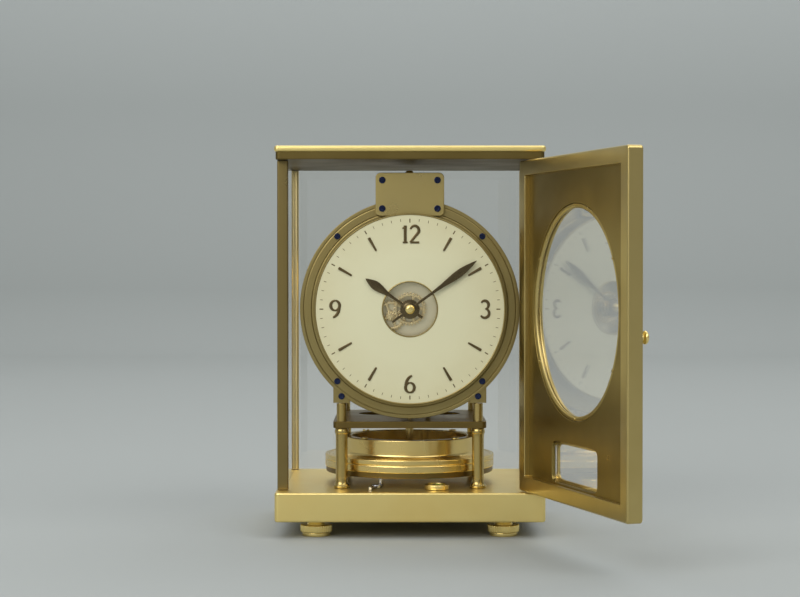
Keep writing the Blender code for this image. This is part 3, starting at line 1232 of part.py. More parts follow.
def build_pendulum(datum, brass, steel):
    """The heavy pendulum, its roller with the impulse pin, and the wire that it hangs on."""
    web_low = PENDULUM_Z + WEB_LIFT
    web_high = web_low + WEB_THICKNESS
    rim = circle(PENDULUM_RADIUS, BROAD_STEPS)
    rim_edge = circle(PENDULUM_RADIUS - PENDULUM_EDGE, BROAD_STEPS)
    inside = circle(SHOULDER_RADIUS - SHOULDER_WIDTH, BROAD_STEPS)
    shoulder = circle(SHOULDER_RADIUS, BROAD_STEPS)
    shoulder_edge = circle(SHOULDER_RADIUS - PENDULUM_EDGE, BROAD_STEPS)
    boss = circle(PENDULUM_BOSS, ROUND_STEPS)
    boss_top = web_high + PENDULUM_BOSS_RISE
    staff_foot = ROLLER_Z - SEAT
    prisms = [
        (PENDULUM_Z, RIM_TOP - PENDULUM_EDGE, rim),
        (RIM_TOP - PENDULUM_EDGE, RIM_TOP, rim, rim_edge),
        (RIM_TOP, SHOULDER_TOP - PENDULUM_EDGE, shoulder),
        (SHOULDER_TOP - PENDULUM_EDGE, SHOULDER_TOP, shoulder, shoulder_edge),
        (PENDULUM_Z, web_low, inside),
        (web_high, SHOULDER_TOP, inside),
        (web_high, boss_top, boss),
        (boss_top, staff_foot, circle(STAFF_RADIUS, SMALL_STEPS)),
        (staff_foot, STAFF_TOP, circle(STAFF_TOP_RADIUS, SMALL_STEPS)),
        (STAFF_TOP - WIRE_ENTRY - SEAT, STAFF_TOP, circle(WIRE_SOCKET_RADIUS, FINE_STEPS)),
    ]
    gaps = windows(
        PENDULUM_HUB, SHOULDER_RADIUS - SHOULDER_WIDTH - WEB_RING, PENDULUM_ARMS, PENDULUM_ARM_WIDTH, SMALL_STEPS
    )
    prisms += [(web_low, web_high, one) for one in gaps]
    add("pendulum_wheel", stacked("pendulum_wheel", prisms), brass, datum)

    roller_top = ROLLER_Z + ROLLER_THICKNESS
    prisms = [
        (ROLLER_Z, roller_top, circle(ROLLER_RADIUS, ROUND_STEPS)),
        (ROLLER_Z, roller_top, circle(STAFF_TOP_RADIUS + SEAT, SMALL_STEPS)),
        (roller_top, roller_top + IMPULSE_HEIGHT, circle(IMPULSE_RADIUS, FINE_STEPS, (0, -IMPULSE_REACH))),
    ]
    add("roller", stacked("roller", prisms), steel, datum)

    wire_low = STAFF_TOP - WIRE_ENTRY
    wire_high = SHELF_TOP + COLLAR_HEIGHT + KNOB_FLARE_HEIGHT / 2
    wire = [(wire_low, wire_high, circle(WIRE_RADIUS, FINE_STEPS))]
    add("suspension_wire", stacked("suspension_wire", wire), steel, datum)

    tube_top = SHELF_Z - SEAT
    profile = [
        (TUBE_BORE, TUBE_BOTTOM),
        (TUBE_LIP, TUBE_BOTTOM),
        (TUBE_LIP, TUBE_BOTTOM + TUBE_LIP_HEIGHT),
        (TUBE_RADIUS, TUBE_BOTTOM + TUBE_LIP_HEIGHT),
        (TUBE_RADIUS, tube_top - TUBE_FLANGE_HEIGHT),
        (TUBE_FLANGE, tube_top - TUBE_FLANGE_HEIGHT),
        (TUBE_FLANGE, tube_top),
        (TUBE_BORE, tube_top),
    ]
    add("suspension_tube", turned("suspension_tube", profile, SMALL_STEPS), brass, datum)


def build_bridge(datum, works, brass):
    """The bridge over the works, the nut that holds the wire's upper end and the regulator lever."""
    half = BRIDGE_WIDTH / 2
    low, high = BRIDGE_BOTTOM - DIAL_Z, BRIDGE_TOP - DIAL_Z
    front = PLATE_FRONT + SEAT
    shelf = rectangle(-SHELF_WIDTH / 2, SHELF_WIDTH / 2, SHELF_Z - DIAL_Z, SHELF_TOP - DIAL_Z)
    plate = rectangle(-half, half, low, high, BRIDGE_CORNER)
    prisms = [(-SHELF_BACK, front, shelf), (front, front + BRIDGE_THICKNESS, plate)]
    bridge = add("top_bridge", stacked("top_bridge", prisms), brass, works)
    hole = circle(NUT_STEM_RADIUS + RUNNING, SMALL_STEPS)
    drill = stacked("drill", [(-OVERRUN, SHELF_THICKNESS + OVERRUN, hole)])
    cut(bridge, "nut_stem_bore", drill, (0, SHELF_Z - DIAL_Z, 0), (-math.tau / 4, 0, 0))

    seat = SHELF_TOP + SEAT
    flare = seat + COLLAR_HEIGHT
    flare_top = flare + KNOB_FLARE_HEIGHT
    wire_end = SHELF_TOP + COLLAR_HEIGHT + KNOB_FLARE_HEIGHT / 2 + 2 * SEAT
    profile = [
        (0, wire_end),
        (WIRE_SOCKET_RADIUS, wire_end),
        (WIRE_SOCKET_RADIUS, SHELF_Z),
        (NUT_STEM_RADIUS, SHELF_Z),
        (NUT_STEM_RADIUS, seat),
        (COLLAR_RADIUS, seat),
        (COLLAR_RADIUS, flare),
        (KNOB_FLARE_RADIUS, flare),
        (KNOB_FLARE_RADIUS, flare_top),
        (FINIAL_RADIUS, flare_top),
        (FINIAL_RADIUS, flare_top + FINIAL_HEIGHT * 3 / 4),
        (FINIAL_RADIUS / 2, flare_top + FINIAL_HEIGHT),
        (0, flare_top + FINIAL_HEIGHT),
    ]
    add("suspension_nut", turned("suspension_nut", profile, SMALL_STEPS), brass, datum)

    start = math.asin(REGULATOR_WIDTH / 2 / REGULATOR_RING)
    quarter = math.tau / 4
    outline = arc(REGULATOR_RING, -quarter + start, math.tau - quarter - start, ROUND_STEPS)
    outline += [(-REGULATOR_TIP / 2, -REGULATOR_LENGTH), (REGULATOR_TIP / 2, -REGULATOR_LENGTH)]
    lever_low = seat + (COLLAR_HEIGHT - REGULATOR_THICKNESS) / 2
    prisms = [
        (lever_low, lever_low + REGULATOR_THICKNESS, outline),
        (lever_low, lever_low + REGULATOR_THICKNESS, circle(COLLAR_RADIUS + RUNNING, SMALL_STEPS)),
    ]
    add("regulator_lever", stacked("regulator_lever", prisms), brass, datum)


def bellows_profile():
    """The sealed capsule's half section: a rippled back, folded sides and a flat front. Heights run forward."""
    back = -BELLOWS_BACK
    front = -BELLOWS_FRONT
    profile = [(0, back - NIPPLE_HEIGHT), (NIPPLE_RADIUS, back - NIPPLE_HEIGHT), (NIPPLE_RADIUS, back)]
    ripple = (BELLOWS_VALLEY - NIPPLE_RADIUS) / (RIPPLE_COUNT * 2 + 1)
    for i in range(RIPPLE_COUNT * 2 + 1):
        profile.append((NIPPLE_RADIUS + ripple * (i + 1), back + RIPPLE_DEPTH * ((i + 1) % 2)))
    fold = (front - back - RIPPLE_DEPTH) / BELLOWS_FOLDS
    for i in range(BELLOWS_FOLDS):
        low = back + RIPPLE_DEPTH + fold * i
        profile.append((BELLOWS_RADIUS, low + fold / 2))
        profile.append((BELLOWS_VALLEY, low + fold))
    profile.append((0, front))
    return profile


def spring_points():
    """A helix between the push plate and the drum's front wall, a wire's radius and a seat clear of each."""
    low = -PUSH_PLATE_FRONT + SEAT + SPRING_WIRE
    high = -DRUM_INSIDE - SEAT - SPRING_WIRE
    count = int(SPRING_TURNS * SPRING_POINTS_PER_TURN)
    return [
        (*spot(SPRING_RADIUS, math.tau * i / SPRING_POINTS_PER_TURN), low + (high - low) * i / count)
        for i in range(count + 1)
    ]


def chain_points():
    """The chain's line: forward from the push rod, round the guide pulley and up over the chain wheel."""
    level = PULLEY_UP - PULLEY_RADIUS
    points = [(CHAIN_X, level, -DRUM_FRONT + SEAT), (CHAIN_X, level, PULLEY_FORWARD)]
    quarter = math.tau / 4
    bend = CHAIN_STEPS // 4
    for i in range(1, bend + 1):
        angle = quarter * i / bend
        points.append(
            (CHAIN_X, PULLEY_UP - PULLEY_RADIUS * math.cos(angle), PULLEY_FORWARD + PULLEY_RADIUS * math.sin(angle))
        )
    for i in range(CHAIN_STEPS + 1):
        angle = math.pi - WRAP_ANGLE * i / CHAIN_STEPS
        x, up = spot(CHAIN_WHEEL_RADIUS, angle)
        points.append((BARREL_X + x, BARREL_UP + up, CHAIN_WHEEL_FORWARD))
    return points


def grooved(radius, flange, width, groove_floor, bore):
    """A closed half section of a small pulley on a bore."""
    groove = GROOVE_WIDTH / 2
    half = width / 2
    return [
        (bore, -half),
        (flange, -half),
        (flange, -groove),
        (groove_floor, -groove),
        (groove_floor, groove),
        (flange, groove),
        (flange, half),
        (bore, half),
    ]


def build_bellows(works, brass, steel):
    """The drum and its cover, the bellows with its push plate and spring, and the chain that winds the barrel."""
    wall = circle(DRUM_RADIUS, BROAD_STEPS)
    band_front = -DRUM_FRONT - BAND_SETBACK
    band_back = band_front - BAND_WIDTH
    level = PULLEY_UP - PULLEY_RADIUS
    hole = circle(PUSH_ROD_RADIUS + ROD_HOLE_CLEARANCE, SMALL_STEPS, (CHAIN_X, level))
    prisms = [
        (-DRUM_BACK, band_back, wall),
        (band_back, band_front, tabbed_disc(BAND_RADIUS, BAND_DROP)),
        (band_front, -DRUM_FRONT, wall),
        (-DRUM_BACK, -DRUM_INSIDE, circle(DRUM_RADIUS - DRUM_WALL, BROAD_STEPS)),
        (-DRUM_INSIDE, -DRUM_FRONT, hole),
    ]
    for angle in STAY_ANGLES:
        stay = circle(STAY_RADIUS, SMALL_STEPS, spot(STAY_REACH, angle))
        prisms.append((-DRUM_FRONT, BACK_PLATE_BACK - SEAT, stay))
    add("bellows_housing", stacked("bellows_housing", prisms), brass, works)

    skirt = DRUM_RADIUS + SEAT
    profile = [
        (COVER_OPENING, -COVER_BACK),
        (skirt + COVER_WALL, -COVER_BACK),
        (skirt + COVER_WALL, -DRUM_BACK + COVER_SKIRT),
        (skirt, -DRUM_BACK + COVER_SKIRT),
        (skirt, -DRUM_BACK - SEAT),
        (COVER_OPENING, -DRUM_BACK - SEAT),
    ]
    add("housing_cover", turned("housing_cover", profile, BROAD_STEPS), brass, works)
    add("bellows_capsule", turned("bellows_capsule", bellows_profile(), ROUND_STEPS), brass, works)

    plate_back = -(PUSH_PLATE_FRONT + PUSH_PLATE_THICKNESS)
    prisms = [
        (plate_back, -PUSH_PLATE_FRONT, circle(PUSH_PLATE_RADIUS, ROUND_STEPS)),
        (-PUSH_PLATE_FRONT, -DRUM_FRONT, circle(PUSH_ROD_RADIUS, SMALL_STEPS, (CHAIN_X, level))),
    ]
    add("push_plate", stacked("push_plate", prisms), brass, works)
    add("bellows_spring", tube("bellows_spring", spring_points(), SPRING_WIRE, 1), steel, works)
    add("winding_chain", tube("winding_chain", chain_points(), CHAIN_RADIUS, 1), steel, works)

    floor = CHAIN_WHEEL_RADIUS - CHAIN_RADIUS - SEAT
    profile = grooved(CHAIN_WHEEL_RADIUS, CHAIN_WHEEL_FLANGE, CHAIN_WHEEL_WIDTH, floor, BARREL_ARBOR_RADIUS + RUNNING)
    place = (BARREL_X, BARREL_UP, CHAIN_WHEEL_FORWARD)
    add("chain_wheel", turned("chain_wheel", profile, SMALL_STEPS), brass, works, place)

    floor = PULLEY_RADIUS - CHAIN_RADIUS - SEAT
    axle_end = PULLEY_WIDTH / 2 + SEAT + EAR_THICKNESS
    profile = grooved(PULLEY_RADIUS, PULLEY_FLANGE, PULLEY_WIDTH, floor, PULLEY_AXLE_RADIUS)
    profile = [(0, -axle_end), (PULLEY_AXLE_RADIUS, -axle_end)] + profile
    profile += [(PULLEY_AXLE_RADIUS, axle_end), (0, axle_end)]
    place = (CHAIN_X, PULLEY_UP, PULLEY_FORWARD)
    add("guide_pulley", turned("guide_pulley", profile, SMALL_STEPS), brass, works, place, SIDEWAYS)

    pivot = spot(CLICK_REACH, CLICK_ANGLE)
    beak = spot(RATCHET_RADIUS + SEAT, CLICK_ANGLE + CLICK_LEAD)
    towards = math.atan2(beak[1] - pivot[1], beak[0] - pivot[0])
    spread = math.tau / 8
    outline = arc(CLICK_HUB, towards + spread, towards + math.tau - spread, SMALL_STEPS)
    reach = math.dist(pivot, beak)
    outline += [spot(reach, towards)]
    prisms = [
        (RATCHET_BACK, RATCHET_BACK + RATCHET_THICKNESS, outline),
        (RATCHET_BACK + RATCHET_THICKNESS, BACK_PLATE_BACK - SEAT, circle(CLICK_HUB / 2, FINE_STEPS)),
    ]
    place = (BARREL_X + pivot[0], BARREL_UP + pivot[1], 0)
    add("ratchet_click", stacked("ratchet_click", prisms), steel, works, place)


def build_base_fittings(datum, brass, steel):
    """The round spirit level and the lever that locks the pendulum for carrying."""
    foot = BASE_TOP + SEAT
    rim = foot + LEVEL_HEIGHT * 3 / 4
    profile = [
        (0, foot),
        (LEVEL_RADIUS, foot),
        (LEVEL_RADIUS, rim),
        (LEVEL_DOME, rim),
        (LEVEL_DOME, foot + LEVEL_HEIGHT),
        (0, foot + LEVEL_HEIGHT),
    ]
    place = (LEVEL_SIDE, -LEVEL_FORWARD, 0)
    add("spirit_level", turned("spirit_level", profile, ROUND_STEPS), brass, datum, place)

    half = LOCK_WIDTH / 2
    start = math.asin(half / LOCK_HUB)
    half_turn = math.pi
    outline = arc(LOCK_HUB, start, half_turn - start, SMALL_STEPS // 2)
    outline += [(-LOCK_FINGER, half / 2), (-LOCK_FINGER, -half / 2)]
    outline += arc(LOCK_HUB, half_turn + start, math.tau - start, SMALL_STEPS // 2)
    outline += [(LOCK_ARM, -half), (LOCK_ARM + half / 2, -half / 2), (LOCK_ARM + half / 2, half / 2), (LOCK_ARM, half)]
    plate_top = foot + LOCK_THICKNESS
    tab = circle(LOCK_TAB_RADIUS * 3 / 4, SMALL_STEPS, (LOCK_ARM - LOCK_TAB_RADIUS / 2, 0))
    prisms = [
        (BASE_TOP - LOCK_STUD_DEPTH, foot, circle(LOCK_STUD_RADIUS, FINE_STEPS)),
        (foot, plate_top, outline),
        (plate_top, plate_top + LOCK_TAB_HEIGHT, tab),
    ]
    place = (-LOCK_SIDE, -LOCK_FORWARD, 0)
    add("lock_lever", stacked("lock_lever", prisms), steel, datum, place, (0, 0, LOCK_REST))


def build():
    """Models the whole clock."""
    clear_scene()
    brass = finish("gilt_brass", (0.80, 0.64, 0.33), 0.28, 1.0)
    steel = finish("polished_steel", (0.56, 0.56, 0.57), 0.25, 1.0)
    cream = finish("cream_enamel", (0.86, 0.84, 0.76), 0.45, 0.0)
    dark = finish("dark_gilt", (0.30, 0.27, 0.20), 0.35, 1.0)
    glass = finish("clear_glass", (0.90, 0.94, 0.93), 0.03, 0.0, 1.0)
    datum = empty("rear_foot_datum", None, (0, -REAR_FOOT_BACK, 0))
    works = empty("dial_axis", datum, (0, 0, DIAL_Z), FORWARD)
    build_case(datum, brass, glass)
    build_feet(datum, brass)
    build_door(datum, brass, glass)
    build_frame(datum, works, brass)
    build_dial(works, cream, dark)
    build_motion_work(works, brass)
    build_train(works, brass, steel)
    build_escapement(datum, brass, steel)
    build_pendulum(datum, brass, steel)
    build_bridge(datum, works, brass)
    build_bellows(works, brass, steel)
    build_base_fittings(datum, brass, steel)


build()
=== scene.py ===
"""The looks of the atmospheric clock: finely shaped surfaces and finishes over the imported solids.

Every new piece is a surface worked out with numpy. A shape is a grid of points, in rows and columns, that
is a function of two parameters or a section carried along a line. Lengths are metres. Three local frames
are used. "Standing" has z up from the table and the pendulum's axis at x = y = 0. "Facing" has x to the
right, y up and z forward from the pendulum's axis, with the hands' arbor at x = y = 0. "Door" has x along
the closed door from its hinge, y up from the table and z outward.
"""
import json
import math

import bmesh
import bpy
import numpy as np
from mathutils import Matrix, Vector


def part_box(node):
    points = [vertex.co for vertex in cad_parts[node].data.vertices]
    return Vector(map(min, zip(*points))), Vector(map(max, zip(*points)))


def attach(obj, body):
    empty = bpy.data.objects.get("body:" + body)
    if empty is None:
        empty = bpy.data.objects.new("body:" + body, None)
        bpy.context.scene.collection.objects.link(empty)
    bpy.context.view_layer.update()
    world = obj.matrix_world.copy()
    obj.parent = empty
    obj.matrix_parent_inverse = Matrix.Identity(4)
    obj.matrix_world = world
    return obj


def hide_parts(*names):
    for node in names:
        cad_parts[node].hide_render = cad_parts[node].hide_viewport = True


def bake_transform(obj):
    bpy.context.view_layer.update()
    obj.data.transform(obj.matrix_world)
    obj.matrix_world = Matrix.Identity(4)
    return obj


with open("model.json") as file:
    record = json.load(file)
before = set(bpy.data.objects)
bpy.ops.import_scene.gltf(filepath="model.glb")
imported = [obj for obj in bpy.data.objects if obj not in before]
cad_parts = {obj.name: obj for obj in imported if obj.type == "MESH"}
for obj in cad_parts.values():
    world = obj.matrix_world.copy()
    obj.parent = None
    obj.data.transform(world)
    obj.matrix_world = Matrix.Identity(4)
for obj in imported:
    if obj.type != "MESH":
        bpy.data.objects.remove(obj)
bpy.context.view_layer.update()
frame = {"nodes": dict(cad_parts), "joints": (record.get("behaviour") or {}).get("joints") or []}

TURN = math.tau
TINY = 1e-9

# Where the bodies turn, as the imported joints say, and so where the local frames lie
PIVOTS = {joint["child"]: joint["pos_m"] for joint in frame["joints"] if "pos_m" in joint}
AXIS_Y = PIVOTS["pendulum"][1]
DIAL_Z = PIVOTS["minute"][2]
HINGE_X = PIVOTS["door"][0]
HINGE_Y = PIVOTS["door"][1] - AXIS_Y
DOOR_OPEN = math.radians(107.5)

# How far an edge is rounded, from small steel parts to large turned ones
HAIR_EDGE = 0.0001
WHEEL_EDGE = 0.00012
FINE_EDGE = 0.0002
SOFT_EDGE = 0.0003
PLAIN_EDGE = 0.0004
BROAD_EDGE = 0.0006
FULL_EDGE = 0.0007

# How many points go round a turned piece, from a pin to the pendulum's rim
PIN_STEPS = 32
STUD_STEPS = 48
KNOB_STEPS = 64
WHEEL_STEPS = 96
HUB_STEPS = 128
PANE_STEPS = 160
RING_STEPS = 192
DIAL_STEPS = 224
RIM_STEPS = 256

# Faces that meet at less than this angle are shaded as one, in degrees
SHARP_ANGLE = 32.0
CAPSULE_SHARP_ANGLE = 50.0

# Points closer than this are welded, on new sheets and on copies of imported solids
WELD = 0.0000005
COPY_WELD = 0.000001


# Sizes and places read from the frame


def seen_standing(place):
    """The x and y of a place in the standing frame."""
    return place[0], place[1] - AXIS_Y


def seen_facing(place):
    """A place in the facing frame."""
    return place[0], place[2] - DIAL_Z, AXIS_Y - place[1]


def middle_of(node):
    """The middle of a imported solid."""
    low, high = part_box(node)
    return (low + high) / 2


def half_across(node):
    """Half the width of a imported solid, which is the radius of a turned one."""
    low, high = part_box(node)
    return (high.x - low.x) / 2


def heights(node):
    """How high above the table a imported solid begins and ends."""
    low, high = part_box(node)
    return low.z, high.z


def depths(node):
    """How far before the pendulum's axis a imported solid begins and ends."""
    low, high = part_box(node)
    return AXIS_Y - high.y, AXIS_Y - low.y


# Grids of points and how they become pieces


def patch(points, wrap_rows=False, wrap_columns=False):
    """One sheet of four-sided faces: face (i, j) joins the points of rows i, i + 1 and columns j, j + 1."""
    rows, columns = points.shape[:2]
    row = np.arange(rows if wrap_rows else rows - 1)[:, None]
    column = np.arange(columns if wrap_columns else columns - 1)[None, :]
    next_row = (row + 1) % rows
    next_column = (column + 1) % columns
    corners = [
        row * columns + column,
        row * columns + next_column,
        next_row * columns + next_column,
        next_row * columns + column,
    ]
    return points.reshape(-1, 3), np.stack(np.broadcast_arrays(*corners), -1).reshape(-1, 4)


def together(patches):
    """Several sheets as one: their points one after another, their faces numbered on."""
    starts = np.cumsum([0] + [len(points) for points, faces in patches])
    points = np.concatenate([points for points, faces in patches])
    faces = np.concatenate([faces + start for (_, faces), start in zip(patches, starts)])
    return points, faces


def moved(sheet, x=0.0, y=0.0, z=0.0):
    """Shifts a sheet within its own frame."""
    return sheet[0] + np.array([x, y, z]), sheet[1]


def standing(sheet, x=0.0, y=0.0, z=0.0):
    """Moves a sheet to a place in the standing frame."""
    return moved(sheet, x, y + AXIS_Y, z)


def facing(sheet, x=0.0, up=0.0, forward=0.0):
    """Turns a sheet drawn in the facing frame to stand in the clock: (x, y, z) goes to (x, -z, y)."""
    points = sheet[0] + np.array([x, up, forward])
    return np.stack([points[:, 0], AXIS_Y - points[:, 2], DIAL_Z + points[:, 1]], 1), sheet[1]


def on_door(sheet, x=0.0, up=0.0, out=0.0):
    """Turns a sheet drawn in the door's frame about the hinge to where the open door stands."""
    along, height, depth = (sheet[0] + np.array([x, up, out])).T
    cosine, sine = math.cos(DOOR_OPEN), math.sin(DOOR_OPEN)
    east = HINGE_X + along * cosine + depth * sine
    north = HINGE_Y + AXIS_Y + along * sine - depth * cosine
    return np.stack([east, north, height], 1), sheet[1]


def turned_about(sheet, angle):
    """Turns a sheet about its own z axis."""
    cosine, sine = math.cos(angle), math.sin(angle)
    x, y, z = sheet[0].T
    return np.stack([x * cosine - y * sine, x * sine + y * cosine, z], 1), sheet[1]


def spread(sheet, count, shift=0.0):
    """A sheet repeated evenly about its z axis, the first one shifted by a share of the step."""
    return [turned_about(sheet, TURN * (i + shift) / count) for i in range(count)]


def tipped(sheet):
    """Lays a sheet's z axis along x: (x, y, z) goes to (z, y, -x)."""
    x, y, z = sheet[0].T
    return np.stack([z, y, -x], 1), sheet[1]


def mirrored(sheet):
    """Points a sheet's z axis the other way by half a turn about x."""
    x, y, z = sheet[0].T
    return np.stack([x, -y, -z], 1), sheet[1]


def shown(name, data):
    """Puts a mesh, a light or a camera in the scene as an object of the same name."""
    held = bpy.data.objects.new(name, data)
    bpy.context.scene.collection.objects.link(held)
    return held


def cleaned(mesh, weld, whole_faces=False):
    """Welds a mesh's seams, turns its faces outward and shades it smooth. With whole_faces, the triangles of
    a flat face become one face, so that a bevel finds only real edges."""
    shape = bmesh.new()
    shape.from_mesh(mesh)
    bmesh.ops.remove_doubles(shape, verts=shape.verts, dist=weld)
    if whole_faces:
        bmesh.ops.dissolve_limit(shape, angle_limit=math.radians(1), verts=shape.verts, edges=shape.edges)
    bmesh.ops.recalc_face_normals(shape, faces=shape.faces)
    shape.to_mesh(mesh)
    shape.free()
    mesh.shade_smooth()


def evened(piece):
    """Lets the broad faces set the shading, so that a flat face stays flat next to its rounded edges."""
    weights = piece.modifiers.new("weighted_normals", "WEIGHTED_NORMAL")
    weights.keep_sharp = True


def make(name, sheets, material, body, *stands_for, slot="gilt_brass", sharp=SHARP_ANGLE, bend=None):
    """Puts sheets in the scene as one piece that rides on a body. With bend, the piece's place is baked into
    its points instead and it rides on no body; the body and the two points that bend holds are not used."""
    points, faces = together(sheets)
    mesh = bpy.data.meshes.new(name)
    mesh.from_pydata(points, [], faces)
    cleaned(mesh, WELD)
    mesh.set_sharp_from_angle(angle=math.radians(sharp))
    mesh.materials.append(material)
    piece = shown(name, mesh)
    if bend:
        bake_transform(piece)
    else:
        evened(piece)
        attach(piece, body)
    if stands_for:
        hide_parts(*stands_for)


def repaint(node, material):
    """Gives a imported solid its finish."""
    mesh = frame["nodes"][node].data
    mesh.materials.clear()
    mesh.materials.append(material)


def dressed(node, material, body, edge):
    """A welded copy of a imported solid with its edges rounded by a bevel."""
    mesh = frame["nodes"][node].data.copy()
    mesh.name = node + "_dressed"
    cleaned(mesh, COPY_WELD, whole_faces=True)
    mesh.set_sharp_from_angle(angle=math.radians(SHARP_ANGLE))
    mesh.materials.clear()
    mesh.materials.append(material)
    piece = shown(node + "_dressed", mesh)
    bevel = piece.modifiers.new("edges", "BEVEL")
    bevel.width = edge
    bevel.segments = 2
    bevel.limit_method = "ANGLE"
    bevel.angle_limit = math.radians(SHARP_ANGLE)
    evened(piece)
    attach(piece, body)
    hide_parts(node)


# Outlines and sheets


def polar(radius, angle):
    """The place at a radius and an angle from the middle."""
    return radius * math.cos(angle), radius * math.sin(angle)


def at_angles(angles, reach):
    """The points that lie at these angles, as far out as reach says."""
    return np.stack([reach * np.cos(angles), reach * np.sin(angles)], 1)


def round_angles(steps):
    """Even angles once round."""
    return np.linspace(0, TURN, steps, endpoint=False)


def ring_of(radius, steps):
    """A circle of points; radius may be an array that changes with the angle."""
    return at_angles(round_angles(steps), radius)


def knurled(radius, depth, ridges, steps_per_ridge=10):
    """A circle whose radius falls by depth (1 + cos(ridges a)) / 2."""
    steps = ridges * steps_per_ridge
    return ring_of(radius - depth * (0.5 + 0.5 * np.cos(ridges * round_angles(steps))), steps)


def softened(corners, radius, closed=True, count=5):
    """Rounds each corner C by the curve (1-t)^2 A + 2t(1-t) C + t^2 B, where A and B lie radius from C."""
    corners = np.asarray(corners, float)
    most_of_side = 0.48

    def towards(others):
        """The points on the way to the corners next in line, radius from each corner."""
        span = np.linalg.norm(others - corners, axis=1, keepdims=True)
        return corners + (others - corners) * np.minimum(radius / np.maximum(span, TINY), most_of_side)

    before = towards(np.roll(corners, 1, 0))
    after = towards(np.roll(corners, -1, 0))
    t = np.linspace(0, 1, count)[None, :, None]
    curves = (1 - t) ** 2 * before[:, None] + 2 * t * (1 - t) * corners[:, None] + t ** 2 * after[:, None]
    if closed:
        return curves.reshape(-1, corners.shape[1])
    return np.concatenate([corners[:1], curves[1:-1].reshape(-1, corners.shape[1]), corners[-1:]])


def rounded_box(half_x, half_y, corner, count=8):
    """A rectangle about the middle with quarter circle corners."""
    quarter = np.linspace(0, TURN / 4, count)
    parts = []
    for i, (side_x, side_y) in enumerate(((1, 1), (-1, 1), (-1, -1), (1, -1))):
        middle = np.array([side_x * (half_x - corner), side_y * (half_y - corner)])
        parts.append(middle + at_angles(quarter + i * TURN / 4, corner))
    return np.concatenate(parts)


def lathe(profile, steps=WHEEL_STEPS, edge=0.0, closed=False):
    """A turned sheet: the profile point (r, h) goes to (r cos a, r sin a, h) at every angle a."""
    profile = np.asarray(profile, float)
    if edge:
        profile = softened(profile, edge, closed)
    angle = round_angles(steps)
    radius, height = profile[:, :1], profile[:, 1:]
    grid = np.stack(np.broadcast_arrays(radius * np.cos(angle), radius * np.sin(angle), height), -1)
    return patch(grid, closed, True)


def rod(radius, low, high, steps=PIN_STEPS, edge=HAIR_EDGE):
    """A round rod or disc about the z axis."""
    return lathe([(0, low), (radius, low), (radius, high), (0, high)], steps, edge)


def tube(inner, outer, low, high, steps=WHEEL_STEPS, edge=HAIR_EDGE):
    """A round tube or flat ring about the z axis."""
    return lathe([(inner, low), (outer, low), (outer, high), (inner, high)], steps, edge, True)


def groove(radius, height, size=0.0003):
    """Three points of a profile that runs inward along a face: a groove turned into it."""
    return [(radius + size, height), (radius, height - size), (radius - size, height)]


def outward(outline):
    """The outward direction at each point of a closed line that runs anticlockwise."""
    along = np.roll(outline, -1, 0) - np.roll(outline, 1, 0)
    normal = np.stack([along[:, 1], -along[:, 0]], 1)
    return normal / np.maximum(np.linalg.norm(normal, axis=1, keepdims=True), TINY)


def round_over(low, high, edge, count=4):
    """How far in and how high the rings of a rounded edge lie, from the lower face to the upper one."""
    t = np.linspace(0, TURN / 4, count)
    inset = edge * (1 - np.sin(t))
    rise = edge * (1 - np.cos(t))
    return np.concatenate([inset, inset[::-1]]), np.concatenate([low + rise, high - rise[::-1]])


def raised(rings, height):
    """Flat rings of points with a height for each ring."""
    return np.concatenate([rings, np.broadcast_to(height[:, None, None], rings.shape[:2] + (1,))], 2)


def slab(outline, low, high, edge):
    """A flat piece: rings of the outline moved in round each edge, and both faces closed at the middle."""
    inset, height = round_over(low, high, edge)
    rings = outline[None] - outward(outline)[None] * inset[:, None, None]
    middle = np.broadcast_to(outline.mean(0), (1, len(outline), 2))
    rings = np.concatenate([middle, rings, middle])
    return patch(raised(rings, np.concatenate([[low], height, [high]])), False, True)


def band(outer, inner, low, high, edge, inner_edge=None):
    """A flat ring between two outlines of as many points: up the outer edge, across and down the inner."""
    inset, height = round_over(low, high, edge)
    inner_inset, inner_height = round_over(low, high, edge if inner_edge is None else inner_edge)
    rings = np.concatenate([
        outer[None] - outward(outer)[None] * inset[:, None, None],
        (inner[None] + outward(inner)[None] * inner_inset[:, None, None])[::-1],
    ])
    return patch(raised(rings, np.concatenate([height, inner_height[::-1]])), True, True)


def bar(line, half_width, low, high, edge, crown=0.0):
    """A flat bar along a line: a rounded box section as wide as half_width says, its top raised to a ridge by
    crown, and its ends drawn together."""
    line = np.asarray(line, float)
    half_width = np.broadcast_to(np.asarray(half_width, float), (len(line),))
    along = np.gradient(line, axis=0)
    along /= np.maximum(np.linalg.norm(along, axis=1, keepdims=True), TINY)
    side = np.stack([-along[:, 1], along[:, 0]], 1)
    inset, height = round_over(low, high, edge)
    least_share = 0.1
    across = np.maximum(half_width[:, None] - inset[None], half_width[:, None] * least_share)
    width = np.concatenate([across, 0 * across[:, :1], -across[:, ::-1], 0 * across[:, :1]], 1)
    ridge = crown * np.minimum(1, half_width / max(half_width.max(), TINY))
    flat = np.ones((len(line), 1))
    rise = np.concatenate([flat * height, high + ridge[:, None], flat * height[::-1], flat * low], 1)
    grid = np.concatenate([line[:, None] + side[:, None] * width[..., None], rise[..., None]], 2)
    ends = grid.mean(1, keepdims=True)
    shape = (1,) + grid.shape[1:]
    grid = np.concatenate([np.broadcast_to(ends[:1], shape), grid, np.broadcast_to(ends[-1:], shape)])
    return patch(grid, False, True)


